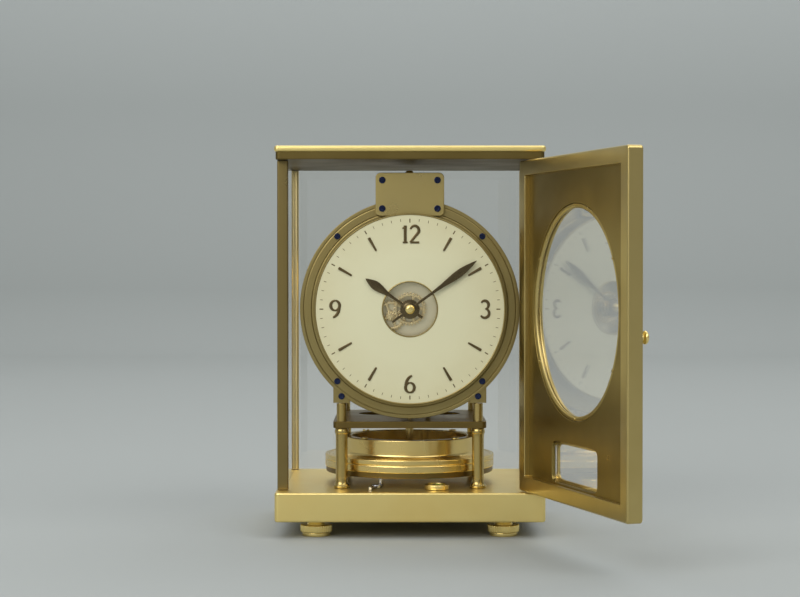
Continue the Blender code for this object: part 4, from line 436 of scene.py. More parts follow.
def wire(path, radius, sides, closed=False, reference=(0.0, 0.0, 1.0)):
    """A round wire: circles square to the path, whose first direction is square to the reference too."""
    if closed:
        along = np.roll(path, -1, 0) - np.roll(path, 1, 0)
    else:
        along = np.gradient(path, axis=0)
    along /= np.linalg.norm(along, axis=1, keepdims=True)
    first = np.cross(along, reference)
    first /= np.maximum(np.linalg.norm(first, axis=1, keepdims=True), TINY)
    second = np.cross(along, first)
    angle = round_angles(sides)[None, :, None]
    grid = path[:, None] + radius * (first[:, None] * np.cos(angle) + second[:, None] * np.sin(angle))
    if not closed:
        shape = (1,) + grid.shape[1:]
        grid = np.concatenate([np.broadcast_to(path[0], shape), grid, np.broadcast_to(path[-1], shape)])
    return patch(grid, closed, True)


def toothed(teeth, start=0.0, points_per_tooth=14):
    """A gear's outline. The wave tanh(3 cos(teeth a) - 0.8) lifts the radius by the addendum where it is
    above zero and lowers it by the dedendum where it is below."""
    module = 0.0006
    addendum, dedendum = 0.72, 1.1
    steepness, thinness = 3, 0.8
    angle = round_angles(teeth * points_per_tooth)
    wave = np.tanh(steepness * np.cos(teeth * (angle - start)) - thinness)
    radius = module * teeth / 2 + module * np.where(wave > 0, addendum * wave, dedendum * wave)
    return at_angles(angle, radius)


def wheel(outer, rim, hub, bore, low, high, arms, arm_width, start=0.0):
    """A spoked wheel: a toothed rim, a hub with a bore, and waisted arms between them."""
    edge = WHEEL_EDGE
    line = [(hub * 0.8, 0), ((hub + rim) / 2, 0), (rim + edge * 3, 0)]
    half_width = [arm_width * 0.6, arm_width * 0.45, arm_width * 0.55]
    arm = bar(line, half_width, low + edge, high - edge, edge)
    return together([
        band(outer, ring_of(rim, len(outer)), low, high, edge),
        band(ring_of(hub, STUD_STEPS), ring_of(bore, STUD_STEPS), low - edge, high + edge, edge),
        *(turned_about(arm, start + TURN * i / arms) for i in range(arms)),
    ])


def screw(radius, height):
    """A cheese head screw: two half moons on a thinner disc, with the slot between them."""
    slot = 0.28
    reach = math.acos(slot)
    moon = at_angles(np.linspace(-reach, reach, 24), radius)
    moon[:, 0] = np.maximum(moon[:, 0], slot * radius)
    right = slab(moon, 0, height, height * 0.18)
    disc = rod(radius * 0.995, 0, height * 0.45, STUD_STEPS, height * 0.05)
    return together([right, turned_about(right, math.pi), disc])


def heads(radius, height, places):
    """Screw heads at places in a plane, each place with the angle that its slot stands at."""
    head = screw(radius, height)
    return [moved(turned_about(head, angle), x, y) for x, y, angle in places]


# Shader effects


def feed(tree, node, inputs):
    """Gives each input of a node its value, or links it where the value is another node's output."""
    for socket, value in inputs.items():
        if isinstance(value, bpy.types.NodeSocket):
            tree.links.new(value, node.inputs[socket])
        else:
            node.inputs[socket].default_value = value


def add_node(tree, kind, inputs=None, **settings):
    """Adds a node with its settings and its inputs."""
    node = tree.nodes.new("ShaderNode" + kind)
    for key, value in settings.items():
        setattr(node, key, value)
    feed(tree, node, inputs or {})
    return node


def noise(tree, place, scale, detail=2.0):
    """The value of soft noise at a place."""
    return add_node(tree, "TexNoise", {"Vector": place, "Scale": scale, "Detail": detail}).outputs["Fac"]


def ranged(tree, value, low=0.0, high=1.0, first=0.0, last=1.0):
    """A value's way from low to high, carried over to the way from first to last and kept within it."""
    return add_node(tree, "MapRange", {0: value, 1: low, 2: high, 3: first, 4: last}).outputs[0]


def reckoned(tree, operation, *values):
    """One step of arithmetic on numbers."""
    return add_node(tree, "Math", dict(enumerate(values)), operation=operation).outputs[0]


def reckoned_place(tree, operation, *places, output="Vector"):
    """One step of arithmetic on places."""
    return add_node(tree, "VectorMath", dict(enumerate(places)), operation=operation).outputs[output]


def mixed(tree, share, first, second):
    """A colour between two others."""
    return add_node(tree, "Mix", {0: share, 6: first, 7: second}, data_type="RGBA").outputs[2]


def centred(tree, place, centre):
    """A place as seen from a centre."""
    return add_node(tree, "Mapping", {"Vector": place, "Location": [-c for c in centre]}).outputs[0]


def effect(name, inputs, outputs):
    """A new shader node group and its two ends. Inputs come with their first values, and outputs with how
    many numbers they hold."""
    kinds = {1: "NodeSocketFloat", 3: "NodeSocketVector", 4: "NodeSocketColor"}
    tree = bpy.data.node_groups.new(name, "ShaderNodeTree")
    for label, value in inputs.items():
        socket = tree.interface.new_socket(label, in_out="INPUT", socket_type=kinds[np.size(value)])
        socket.default_value = value
    for label, size in outputs.items():
        tree.interface.new_socket(label, in_out="OUTPUT", socket_type=kinds[size])
    return tree, tree.nodes.new("NodeGroupInput").outputs, tree.nodes.new("NodeGroupOutput")


def handled_effect():
    """Colour and roughness that drift over a metal: clouds of cleaner and duller lacquer, and specks."""
    tree, given, end = effect(
        "handled metal",
        {"Vector": (0, 0, 0), "Clean": (1, 1, 1, 1), "Dull": (1, 1, 1, 1), "Smooth": 0.2, "Rough": 0.4,
         "Cloud": 30.0, "Speck": 2600.0},
        {"Color": 4, "Roughness": 1},
    )
    share = ranged(tree, noise(tree, given["Vector"], given["Cloud"]), 0.25, 0.8)
    gentle = ranged(tree, noise(tree, given["Vector"], given["Speck"]), first=0.8)
    both = reckoned(tree, "MULTIPLY", share, gentle)
    feed(tree, end, {
        "Color": mixed(tree, share, given["Clean"], given["Dull"]),
        "Roughness": ranged(tree, both, 0.0, 0.95, given["Smooth"], given["Rough"]),
    })
    return tree


def brushed_effect():
    """Fine parallel scratches: noise whose coordinates are drawn out along one direction."""
    tree, given, end = effect(
        "brushed lines", {"Vector": (0, 0, 0), "Stretch": (1, 1, 1), "Fineness": 1000.0}, {"Height": 1})
    drawn = reckoned_place(tree, "MULTIPLY", given["Vector"], given["Stretch"])
    feed(tree, end, {"Height": noise(tree, drawn, given["Fineness"], 3.0)})
    return tree


def turned_effect():
    """Lathe marks: noise read along the distance from an axis and along the height on it."""
    tree, given, end = effect(
        "turned lines", {"Vector": (0, 0, 0), "Flat": (1, 1, 0), "Fineness": 2500.0}, {"Height": 1})
    flat = reckoned_place(tree, "MULTIPLY", given["Vector"], given["Flat"])
    reach = reckoned_place(tree, "LENGTH", flat, output="Value")
    rest = reckoned_place(tree, "SUBTRACT", given["Vector"], flat)
    depth = reckoned_place(tree, "LENGTH", rest, output="Value")
    place = add_node(tree, "CombineXYZ", {"X": reach, "Y": depth})
    feed(tree, end, {"Height": noise(tree, place.outputs[0], given["Fineness"])})
    return tree


def grained_effect():
    """A fine even grain, as of matt gilding, enamel or bead-blasted brass."""
    tree, given, end = effect("fine grain", {"Vector": (0, 0, 0), "Fineness": 4000.0}, {"Height": 1})
    cells = add_node(tree, "TexVoronoi", {"Vector": given["Vector"], "Scale": given["Fineness"]})
    grain = noise(tree, given["Vector"], given["Fineness"])
    feed(tree, end, {"Height": reckoned(tree, "MULTIPLY", cells.outputs["Distance"], grain)})
    return tree


HANDLED = handled_effect()
BRUSHED = brushed_effect()
TURNED = turned_effect()
GRAINED = grained_effect()


# Finishes


def new_material(name, inputs):
    """A material with a Principled shader, its plain inputs, and Object coordinates."""
    material = bpy.data.materials.new(name)
    material.use_nodes = True
    tree = material.node_tree
    shader = tree.nodes["Principled BSDF"]
    feed(tree, shader, inputs)
    place = add_node(tree, "TexCoord").outputs["Object"]
    return material, tree, shader, place


def grouped(tree, group, inputs):
    """Places an effect in a material with its own values."""
    node = add_node(tree, "Group", node_tree=group)
    feed(tree, node, inputs)
    return node.outputs


def bumped(tree, shader, height, depth):
    """Lets a height raise the surface by up to depth."""
    bump = add_node(tree, "Bump", {"Height": height, "Distance": depth, "Strength": 1.0})
    feed(tree, shader, {"Normal": bump.outputs["Normal"]})


def metal(name, clean, dull, smooth, rough, marks, depth, centre=(0, 0, 0), coat=0.0, cloud=30.0, **values):
    """A metal with drifting colour and roughness over brushed, turned or grained marks."""
    material, tree, shader, place = new_material(
        name, {"Metallic": 1.0, "Coat Weight": coat, "Coat Roughness": 0.08})
    place = centred(tree, place, centre)
    tone = grouped(tree, HANDLED, {
        "Vector": place, "Clean": (*clean, 1), "Dull": (*dull, 1), "Smooth": smooth, "Rough": rough,
        "Cloud": cloud})
    feed(tree, shader, {"Base Color": tone["Color"], "Roughness": tone["Roughness"]})
    bumped(tree, shader, grouped(tree, marks, {"Vector": place, **values})["Height"], depth)
    return material


def brushed(name, clean, dull, smooth, rough, fineness, stretch, depth=0.000003, **values):
    """A metal with fine parallel scratches."""
    values.update(Stretch=stretch, Fineness=fineness)
    return metal(name, clean, dull, smooth, rough, BRUSHED, depth, **values)


def turned(name, clean, dull, smooth, rough, fineness, flat, centre, depth=0.000003, **values):
    """A metal with lathe marks about an axis."""
    values.update(Flat=flat, Fineness=fineness)
    return metal(name, clean, dull, smooth, rough, TURNED, depth, centre, **values)


def grained(name, clean, dull, smooth, rough, depth, **values):
    """A metal with a fine matt grain."""
    return metal(name, clean, dull, smooth, rough, GRAINED, depth, Fineness=3600.0, **values)


def enamel(name, colour, shade, centre, radius):
    """Cream lacquer on the dial: a warm tone that deepens towards the rim, over a very fine grain."""
    material, tree, shader, place = new_material(
        name, {"Metallic": 0.0, "Roughness": 0.42, "Coat Weight": 0.25, "Coat Roughness": 0.2})
    place = centred(tree, place, centre)
    edge = ranged(tree, reckoned_place(tree, "LENGTH", place, output="Value"), radius * 0.55, radius)
    share = reckoned(tree, "MULTIPLY", edge, noise(tree, place, 55.0, 3.0))
    feed(tree, shader, {"Base Color": mixed(tree, share, (*colour, 1), (*shade, 1))})
    grain = grouped(tree, GRAINED, {"Vector": place, "Fineness": 5200.0})
    bumped(tree, shader, grain["Height"], 0.000008)
    return material


def clear(name, colour, roughness=0.015):
    """Clear glass. Rays from lamps pass straight through, so that what stands behind it is lit."""
    material, tree, shader, place = new_material(
        name, {"Base Color": (*colour, 1), "Metallic": 0.0, "Transmission Weight": 1.0, "IOR": 1.47})
    smudge = noise(tree, place, 22.0, 4.0)
    feed(tree, shader, {"Roughness": ranged(tree, smudge, 0.4, 0.8, roughness * 0.3, roughness * 2.5)})
    lit = add_node(tree, "MixShader", {
        0: add_node(tree, "LightPath").outputs["Is Shadow Ray"],
        1: shader.outputs[0],
        2: add_node(tree, "BsdfTransparent").outputs[0],
    })
    feed(tree, tree.nodes["Material Output"], {"Surface": lit.outputs[0]})
    return material


def stone(name, colour):
    """Polished ruby or coloured liquid, a little cloudy inside."""
    material, tree, shader, place = new_material(
        name, {"Metallic": 0.0, "Roughness": 0.06, "Coat Weight": 0.6})
    darker = (colour[0] * 0.5, colour[1], colour[2], 1)
    feed(tree, shader, {"Base Color": mixed(tree, noise(tree, place, 1400.0), (*colour, 1), darker)})
    return material


# Sizes that several sections share. HAIR is how far one piece laps or clears another, and COPY_EDGE how far
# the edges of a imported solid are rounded.

BASE_LOW, BASE_TOP = heights("base_plate")
PILLAR_X = middle_of("front_right_pillar").x
PLATE_BACK, PLATE_FRONT = depths("main_plate")
DIAL_RADIUS = half_across("dial")
DIAL_FOOT_BACK, DIAL_FRONT = depths("dial")
HAIR = 0.0001
COPY_EDGE = 0.00025


# The finishes of this clock. A brushed metal has scratches along one axis, and a turned one has rings. Each
# metal has its clean and its dull colour, its least and its most roughness, and how fine its marks are.

GOLD = (0.98, 0.785, 0.31)
GOLD_DULL = (0.90, 0.69, 0.25)
ALONG_X = (0.03, 1.0, 1.0)
ALONG_Z = (1.0, 1.0, 0.03)
EVERY_WAY = (1.0, 1.0, 1.0)
ABOUT_Y = (1, 0, 1)
ABOUT_Z = (1, 1, 0)
ABOUT_POINT = (0, 0, 0)
ORIGIN = (0, 0, 0)
DIAL_AXIS = (0.0, AXIS_Y, DIAL_Z)
DIAL_MIDDLE = (0.0, AXIS_Y - DIAL_FRONT, DIAL_Z)
PENDULUM_AXIS = (0.0, AXIS_Y, 0.0)

case_gilt = brushed("case_gilt", GOLD, GOLD_DULL, 0.32, 0.40, 1600.0, ALONG_X, coat=0.1)
# The frieze's dark bronze is painted shade: the shadow under the top block's edge.
top_bronze = brushed(
    "top_bronze", (0.17, 0.125, 0.04), (0.12, 0.085, 0.025), 0.42, 0.58, 1500.0, ALONG_X, 0.000005)
# The front posts' darkened gilt is painted shade.
post_gilt = brushed(
    "post_gilt", (0.29, 0.215, 0.08), (0.225, 0.165, 0.055), 0.26, 0.38, 1600.0, ALONG_Z, coat=0.2)
rear_gilt = brushed(
    "rear_gilt", (0.84, 0.69, 0.35), (0.74, 0.60, 0.28), 0.28, 0.40, 1600.0, ALONG_Z, coat=0.1)
# The door's gilt is darkened below the case's: painted shade.
door_gilt = brushed(
    "door_gilt", (0.62, 0.485, 0.19), (0.51, 0.39, 0.14), 0.26, 0.38, 1600.0, ALONG_Z, coat=0.2)
# The door's lining is darker still: painted shade.
door_bronze = brushed("door_bronze", (0.34, 0.25, 0.075), (0.25, 0.18, 0.05), 0.26, 0.42, 1400.0, ALONG_Z)
# The hub's pale gilt is painted light, on a hub that sits in the dial's shadow.
hub_gilt = grained("hub_gilt", (0.92, 0.84, 0.60), (0.82, 0.74, 0.50), 0.3, 0.45, 0.000004)
plate_gilt = grained("plate_gilt", (0.78, 0.62, 0.29), (0.66, 0.51, 0.22), 0.28, 0.42, 0.000004)
# The ring's darkened gilt is painted shade.
ring_gilt = turned(
    "ring_gilt", (0.37, 0.29, 0.115), (0.29, 0.22, 0.08), 0.32, 0.46, 2600.0, ABOUT_Y, DIAL_AXIS)
bridge_gilt = brushed(
    "bridge_gilt", (0.60, 0.47, 0.19), (0.48, 0.37, 0.13), 0.24, 0.38, 1800.0, ALONG_X, 0.000004)
# The platform's dark gilt is painted shade, under the dial.
platform_gilt = brushed("platform_gilt", (0.21, 0.145, 0.045), (0.15, 0.10, 0.03), 0.3, 0.45, 1500.0, ALONG_X)
# The pillars' darkened gilt is painted shade.
pillar_gilt = turned(
    "pillar_gilt", (0.56, 0.42, 0.15), (0.44, 0.32, 0.10), 0.2, 0.34, 2600.0, ABOUT_POINT, ORIGIN, 0.0000025,
    coat=0.2)
turned_gilt = turned(
    "turned_gilt", GOLD, GOLD_DULL, 0.2, 0.34, 2600.0, ABOUT_Z, PENDULUM_AXIS, 0.0000025, coat=0.2)
pendulum_gilt = turned(
    "pendulum_gilt", (0.86, 0.66, 0.26), (0.74, 0.55, 0.19), 0.2, 0.34, 2200.0, ABOUT_Z, PENDULUM_AXIS,
    coat=0.25)
# The foot ring's dark bronze is painted shade under the pendulum's rim.
pendulum_bronze = turned(
    "pendulum_bronze", (0.23, 0.16, 0.05), (0.17, 0.115, 0.035), 0.3, 0.45, 2200.0, ABOUT_Z, PENDULUM_AXIS)
drum_gilt = turned(
    "drum_gilt", (0.70, 0.53, 0.22), (0.56, 0.41, 0.16), 0.24, 0.4, 1800.0, ABOUT_Y, DIAL_AXIS)
capsule_brass = turned(
    "capsule_brass", (0.70, 0.55, 0.28), (0.55, 0.42, 0.2), 0.24, 0.42, 1800.0, ABOUT_Y, DIAL_AXIS, 0.000004)
wheel_brass = brushed(
    "wheel_brass", (0.88, 0.72, 0.40), (0.76, 0.60, 0.31), 0.22, 0.36, 2600.0, ALONG_X, cloud=120.0)
steel = brushed("steel", (0.60, 0.60, 0.61), (0.50, 0.50, 0.51), 0.16, 0.3, 3000.0, ALONG_X, cloud=120.0)
blued = turned(
    "blued_steel", (0.035, 0.045, 0.10), (0.025, 0.03, 0.065), 0.16, 0.28, 3000.0, ABOUT_Y, ORIGIN, 0.000002,
    cloud=200.0)
hand_bronze = brushed(
    "hand_bronze", (0.16, 0.12, 0.06), (0.10, 0.075, 0.04), 0.2, 0.34, 2600.0, EVERY_WAY, cloud=120.0)
numeral_bronze = grained(
    "numeral_bronze", (0.20, 0.145, 0.07), (0.13, 0.095, 0.045), 0.26, 0.4, 0.000003, cloud=150.0)
dial_cream = enamel("dial_cream", (0.72, 0.69, 0.45), (0.64, 0.58, 0.34), DIAL_MIDDLE, DIAL_RADIUS)
pane_glass = clear("pane_glass", (0.99, 0.98, 0.955))
level_glass = clear("level_glass", (0.97, 0.99, 0.97))
level_liquid = stone("level_liquid", (0.42, 0.55, 0.05))
ruby = stone("ruby", (0.42, 0.012, 0.05))


# Case

CASE_HALF_WIDTH = half_across("base_plate")
CASE_HALF_DEPTH = depths("base_plate")[1]
CASE_CORNER = 0.0025
CASE_EDGE = 0.0012
TOP_LOW, TOP_HIGH = heights("top_plate")
TOP_STEP = 0.2284
STEP_INSET = 0.0008
STEP_LAP = 0.0005
FRONT_FOOT = seen_standing(PIVOTS["right_foot"])
REAR_FOOT = seen_standing(middle_of("rear_foot"))
# Radius and top of the feet's pad and neck, and radius, low and high of their grip
FOOT_PAD = (half_across("rear_foot"), 0.0024)
FOOT_NECK = (0.005, 0.0097)
FOOT_GRIP = (half_across("left_levelling_foot"), 0.0022, 0.0067)
FOOT_STUD_TOP = heights("rear_foot")[1]


def build_case():
    """Base and top blocks with rounded edges, a frieze set back under the top and darkened as painted shade,
    corner posts, the front ones darkened as painted shade, and panes.
    """
    outline = rounded_box(CASE_HALF_WIDTH, CASE_HALF_DEPTH, CASE_CORNER, 10)
    base = slab(outline, BASE_LOW, BASE_TOP, CASE_EDGE)
    make("base_block", [standing(base)], case_gilt, "case", "base_plate")
    top = slab(outline, TOP_STEP, TOP_HIGH, CASE_EDGE)
    make("top_block", [standing(top)], case_gilt, "case", "top_plate")
    half_x, half_y = CASE_HALF_WIDTH - STEP_INSET, CASE_HALF_DEPTH - STEP_INSET
    frieze_outline = rounded_box(half_x, half_y, CASE_CORNER, 10)
    frieze = slab(frieze_outline, TOP_LOW, TOP_STEP + STEP_LAP, PLAIN_EDGE)
    make("top_frieze", [standing(frieze)], top_bronze, "case")
    for side in ("left", "right"):
        dressed("front_" + side + "_post", post_gilt, "case", COPY_EDGE)
        dressed("rear_" + side + "_post", rear_gilt, "case", COPY_EDGE)
    for node in ("left_glass", "right_glass", "back_glass"):
        repaint(node, pane_glass)


def build_feet():
    """Two levelling feet with knurled grips under the front corners, and a plain turned one at the back."""
    pad_radius, pad_high = FOOT_PAD
    neck_radius, neck_high = FOOT_NECK
    grip_radius, grip_low, grip_high = FOOT_GRIP
    pad = rod(pad_radius, 0, pad_high, WHEEL_STEPS, BROAD_EDGE)
    grip = slab(knurled(grip_radius, 0.00036, 40), grip_low, grip_high, BROAD_EDGE)
    neck = lathe([
        (0, grip_high - HAIR), (0.0056, grip_high - HAIR), (neck_radius, 0.0082), (neck_radius, neck_high),
        (0, neck_high),
    ], WHEEL_STEPS, PLAIN_EDGE)
    stud = rod(0.0025, 0.0090, FOOT_STUD_TOP, STUD_STEPS, FINE_EDGE)
    foot = together([pad, grip, neck, stud])
    for side, name in ((-1, "left"), (1, "right")):
        placed = standing(foot, side * FRONT_FOOT[0], FRONT_FOOT[1])
        make(name + "_foot_wheel", [placed], turned_gilt, name + "_foot", name + "_levelling_foot")
    rear = lathe([
        (0, 0), (pad_radius, 0), (pad_radius, pad_high), (0.0062, 0.0050), (neck_radius, 0.0072),
        (neck_radius, neck_high), (0, neck_high),
    ], WHEEL_STEPS, FULL_EDGE)
    rear_foot = standing(together([rear, stud]), *REAR_FOOT)
    make("rear_foot_turning", [rear_foot], turned_gilt, "case", "rear_foot")


# Door

DOOR_LEFT = -0.148
DOOR_RIGHT = 0.0056
DOOR_LOW, DOOR_HIGH = heights("door_frame")
DOOR_OUT = 0.0045
DOOR_IN = -0.0045
DOOR_CORNER = 0.002
DOOR_EDGE = 0.0011
RIM_WIDTH = 0.009
RIM_CORNER = 0.001
PANEL_IN = -0.0015
PANEL_SPLIT = 0.0665
WINDOW_X = -0.0706
WINDOW_RADIUS = 0.0605
WINDOW_EDGE = 0.0005
LIP_RADIUS = 0.0585
LIP_IN = 0.003
# Half width and half height of the low window
LOW_WINDOW = (0.030, 0.010)
LOW_WINDOW_Z = middle_of("pendulum_window_glass").z
LOW_WINDOW_LIP = 0.002
LOW_WINDOW_CORNER = 0.003
LINING_OUT = 0.0006
BEAD_IN = 0.0588
BEAD_OUT = 0.0611
BEAD_RISE = 0.0006
PANE_LOW = 0.0007
PANE_HIGH = 0.0027
PANE_GAP = 0.0003
RETAINER_SCREWS = 0.0594
RETAINER_IN = 0.0577
RETAINER_FACE = 0.0004
RETAINER_REAR = -0.0012
KNOB_Z = middle_of("door_knob").z


def box_ring(angles, left, right, low, high):
    """Where rays at these angles from the middle leave a box."""
    cosine, sine = np.cos(angles), np.sin(angles)
    across = np.where(cosine > 0, right, -left) / np.maximum(np.abs(cosine), TINY)
    up = np.where(sine > 0, high, -low) / np.maximum(np.abs(sine), TINY)
    return at_angles(angles, np.minimum(across, up))


def window_angles(left, right, low, high, steps=120):
    """Even angles together with the four that meet the box's corners."""
    corners = [math.atan2(y, x) % TURN for x in (left, right) for y in (low, high)]
    return np.unique(np.concatenate([round_angles(steps), corners]))


def oblong(angles, half_x, half_y, power=9):
    """A rounded oblong, with the reach (|cos a / half_x|^power + |sin a / half_y|^power)^(-1 / power)."""
    across = np.abs(np.cos(angles) / half_x) ** power
    up = np.abs(np.sin(angles) / half_y) ** power
    return at_angles(angles, (across + up) ** (-1 / power))


def build_door():
    """A rim, and a panel with a round and a low window, in layers: lip, pane rebate and a lining darkened as
    painted shade. Rim and face are in a gilt darkened as painted shade.
    """
    middle_x, middle_up = (DOOR_LEFT + DOOR_RIGHT) / 2, (DOOR_LOW + DOOR_HIGH) / 2
    half_x, half_up = (DOOR_RIGHT - DOOR_LEFT) / 2, (DOOR_HIGH - DOOR_LOW) / 2
    inner_x, inner_up = half_x - RIM_WIDTH, half_up - RIM_WIDTH
    outline = rounded_box(half_x, half_up, DOOR_CORNER)
    inside = rounded_box(inner_x, inner_up, RIM_CORNER)
    rim = band(outline, inside, DOOR_IN, DOOR_OUT, DOOR_EDGE, WINDOW_EDGE)
    make("door_rim", [on_door(rim, middle_x, middle_up)], door_gilt, "door", "door_frame")

    def surround(low, high, centre):
        """The angles and the straight outline of the panel about a window."""
        sides = middle_x - inner_x - WINDOW_X, middle_x + inner_x - WINDOW_X, low - centre, high - centre
        angles = window_angles(*sides)
        return angles, box_ring(angles, *sides)

    angles, outer = surround(PANEL_SPLIT, middle_up + inner_up, DIAL_Z)
    low_angles, low_outer = surround(middle_up - inner_up, PANEL_SPLIT, LOW_WINDOW_Z)

    def panel(radius, grow, low, high, edge=0):
        """The panel between two depths, its low window grown from the size of its lip."""
        hole = at_angles(angles, radius)
        low_hole = oblong(low_angles, LOW_WINDOW[0] + grow, LOW_WINDOW[1] + grow)
        return [
            on_door(band(outer, hole, low, high, 0, edge), WINDOW_X, DIAL_Z),
            on_door(band(low_outer, low_hole, low, high, 0, edge), WINDOW_X, LOW_WINDOW_Z),
        ]

    bead = lathe([
        (BEAD_IN, DOOR_OUT - BEAD_RISE), (BEAD_IN, DOOR_OUT + BEAD_RISE / 2),
        (BEAD_IN + BEAD_RISE, DOOR_OUT + BEAD_RISE), (BEAD_OUT - 0.0005, DOOR_OUT + BEAD_RISE),
        (BEAD_OUT, DOOR_OUT), (BEAD_OUT, DOOR_OUT - BEAD_RISE),
    ], RING_STEPS, SOFT_EDGE, True)
    face = [
        *panel(LIP_RADIUS, 0, LIP_IN, DOOR_OUT - HAIR, WINDOW_EDGE),
        *panel(WINDOW_RADIUS, LOW_WINDOW_LIP, LINING_OUT, LIP_IN),
        on_door(bead, WINDOW_X, DIAL_Z),
    ]
    make("door_face", face, door_gilt, "door")
    lining = panel(WINDOW_RADIUS, LOW_WINDOW_LIP, PANEL_IN, LINING_OUT, PLAIN_EDGE)
    make("door_lining", lining, door_bronze, "door")


def build_door_fittings():
    """The two panes, the retainer ring with six screws, the knob and the hinge pins."""
    pane_radius = WINDOW_RADIUS - PANE_GAP
    pane = rod(pane_radius, PANE_LOW, PANE_HIGH, PANE_STEPS, FINE_EDGE)
    make("door_pane", [on_door(pane, WINDOW_X, DIAL_Z)], pane_glass, "door", "door_glass", slot="clear_glass")
    grow = LOW_WINDOW_LIP - PANE_GAP
    low_outline = rounded_box(LOW_WINDOW[0] + grow, LOW_WINDOW[1] + grow, LOW_WINDOW_CORNER)
    low_pane = slab(low_outline, PANE_LOW, PANE_HIGH, FINE_EDGE)
    make("low_pane", [on_door(low_pane, WINDOW_X, LOW_WINDOW_Z)], pane_glass, "door",
         "pendulum_window_glass", slot="clear_glass")
    retainer = lathe([
        (RETAINER_IN, RETAINER_REAR / 2), (RETAINER_IN, RETAINER_FACE), (pane_radius, RETAINER_FACE),
        (pane_radius, RETAINER_REAR), (0.0586, RETAINER_REAR),
    ], RING_STEPS, PLAIN_EDGE, True)
    head = moved(mirrored(screw(0.0009, 0.0005)), RETAINER_SCREWS, 0, -0.0011)
    sheets = [on_door(one, WINDOW_X, DIAL_Z) for one in [retainer] + spread(head, 6, 0.5)]
    make("window_retainer", sheets, door_gilt, "door", "glass_retainer")

    knob = lathe([
        (0, DOOR_OUT + HAIR), (0.0022, DOOR_OUT + HAIR), (0.0018, DOOR_OUT + 0.0012),
        (0.0036, DOOR_OUT + 0.0024), (0.0036, DOOR_OUT + 0.0034), (0.0022, DOOR_OUT + 0.0044),
        (0, DOOR_OUT + 0.0044),
    ], WHEEL_STEPS, BROAD_EDGE)
    shaft = rod(0.0012, DOOR_IN + 0.0003, DOOR_OUT + 0.0005, PIN_STEPS, FINE_EDGE)
    pull = on_door(together([knob, shaft]), DOOR_LEFT + RIM_WIDTH / 2, KNOB_Z)
    make("door_pull", [pull], turned_gilt, "door", "door_knob")
    for name in ("bottom_hinge_pin", "top_hinge_pin"):
        pin = rod(half_across(name), *heights(name), STUD_STEPS, PLAIN_EDGE)
        make(name + "_turning", [standing(pin, HINGE_X, HINGE_Y)], steel, "case", name)


# Frame of the works

RING_OUT = heights("main_plate")[1] - DIAL_Z
RING_IN = 0.051
RING_GROOVES = (0.0637, 0.0589)
RING_EDGE = 0.00035
CENTRE_DISC = 0.031
CENTRE_BORE = 0.0013
PLATE_SCREWS = 0.0615
LUG_LINE = (-0.047, -0.0565)
LUG_SCREW_UP = -0.0525
LUG_WIDTH = 0.005
LUG_SINK = 0.00015
PILLAR_TOPS = {"front": 0.0787, "rear": 0.0902}


def build_plates():
    """The main plate as a hub, a grooved ring, four arms and two lugs; its screws, back plate, platform. The
    hub is paled as painted light; ring, arms, lugs and platform are darkened as painted shade.
    """
    hub = tube(CENTRE_BORE, CENTRE_DISC, PLATE_BACK, PLATE_FRONT, HUB_STEPS, PLAIN_EDGE)
    make("main_plate_hub", [facing(hub)], hub_gilt, "case")
    ring = lathe([
        (RING_IN, PLATE_BACK), (RING_OUT, PLATE_BACK), (RING_OUT, PLATE_FRONT),
        *groove(RING_GROOVES[0], PLATE_FRONT), *groove(RING_GROOVES[1], PLATE_FRONT), (RING_IN, PLATE_FRONT),
    ], RING_STEPS, RING_EDGE, True)
    arm = bar([(0.029, 0), (0.034, 0), (0.046, 0), (0.0525, 0)], [0.0075, 0.0065, 0.0065, 0.008],
              PLATE_BACK + HAIR, PLATE_FRONT - HAIR, PLAIN_EDGE)
    low, high = PLATE_BACK + LUG_SINK, PLATE_FRONT - LUG_SINK
    lugs = [
        bar([(x, up) for up in LUG_LINE], LUG_WIDTH, low, high, PLAIN_EDGE) for x in (-PILLAR_X, PILLAR_X)
    ]
    sheets = [facing(one) for one in [ring] + spread(arm, 4, 0.5) + lugs]
    make("main_plate_turning", sheets, ring_gilt, "case", "main_plate")

    quarters = [TURN * (i + 0.5) / 4 for i in range(4)]
    places = [(*polar(PLATE_SCREWS, angle), angle * 1.7) for angle in quarters]
    places += [(side * PILLAR_X, LUG_SCREW_UP, 0.6 * side) for side in (-1, 1)]
    screws = [facing(one, forward=PLATE_FRONT) for one in heads(0.0019, 0.0009, places)]
    make("plate_screws", screws, blued, "case", slot="polished_steel")
    dressed("back_plate", plate_gilt, "case", COPY_EDGE)
    dressed("platform", platform_gilt, "case", SOFT_EDGE)


def build_pillars():
    """Four turned pillars: a foot, a waist, a collar under the platform and a spigot up to the works, in a
    gilt darkened as painted shade.
    """
    foot, low = half_across("front_left_pillar"), heights("front_left_pillar")[0]
    waist, collar, neck, spigot, neck_top = 0.0036, 0.0042, 0.0039, 0.003, 0.0637
    for row, top in PILLAR_TOPS.items():
        turning = lathe([
            (0, low), (foot, low), (foot, 0.0293), (collar, 0.0300), (0.0038, 0.0312), (waist, 0.0330),
            (waist, 0.0585), (0.0038, 0.0603), (collar, 0.0610), (collar, 0.0622), (neck, 0.0630),
            (neck, neck_top), (spigot, neck_top), (spigot, top), (0, top),
        ], KNOB_STEPS, SOFT_EDGE)
        for side in ("left", "right"):
            name = row + "_" + side + "_pillar"
            placed = standing(turning, *seen_standing(middle_of(name)))
            make(name + "_turning", [placed], pillar_gilt, "case", name)


# Dial and hands

DIAL_BACK = 0.052
DIAL_OPENING = 0.016
DIAL_FEET = 0.0535
NUMERAL_RADIUS = 0.0445
NUMERAL_HEIGHT = 0.0105
NUMERAL_PITCH = 0.0056
HOUR_ANGLE = math.radians(-304.5)
MINUTE_ANGLE = math.radians(-54)


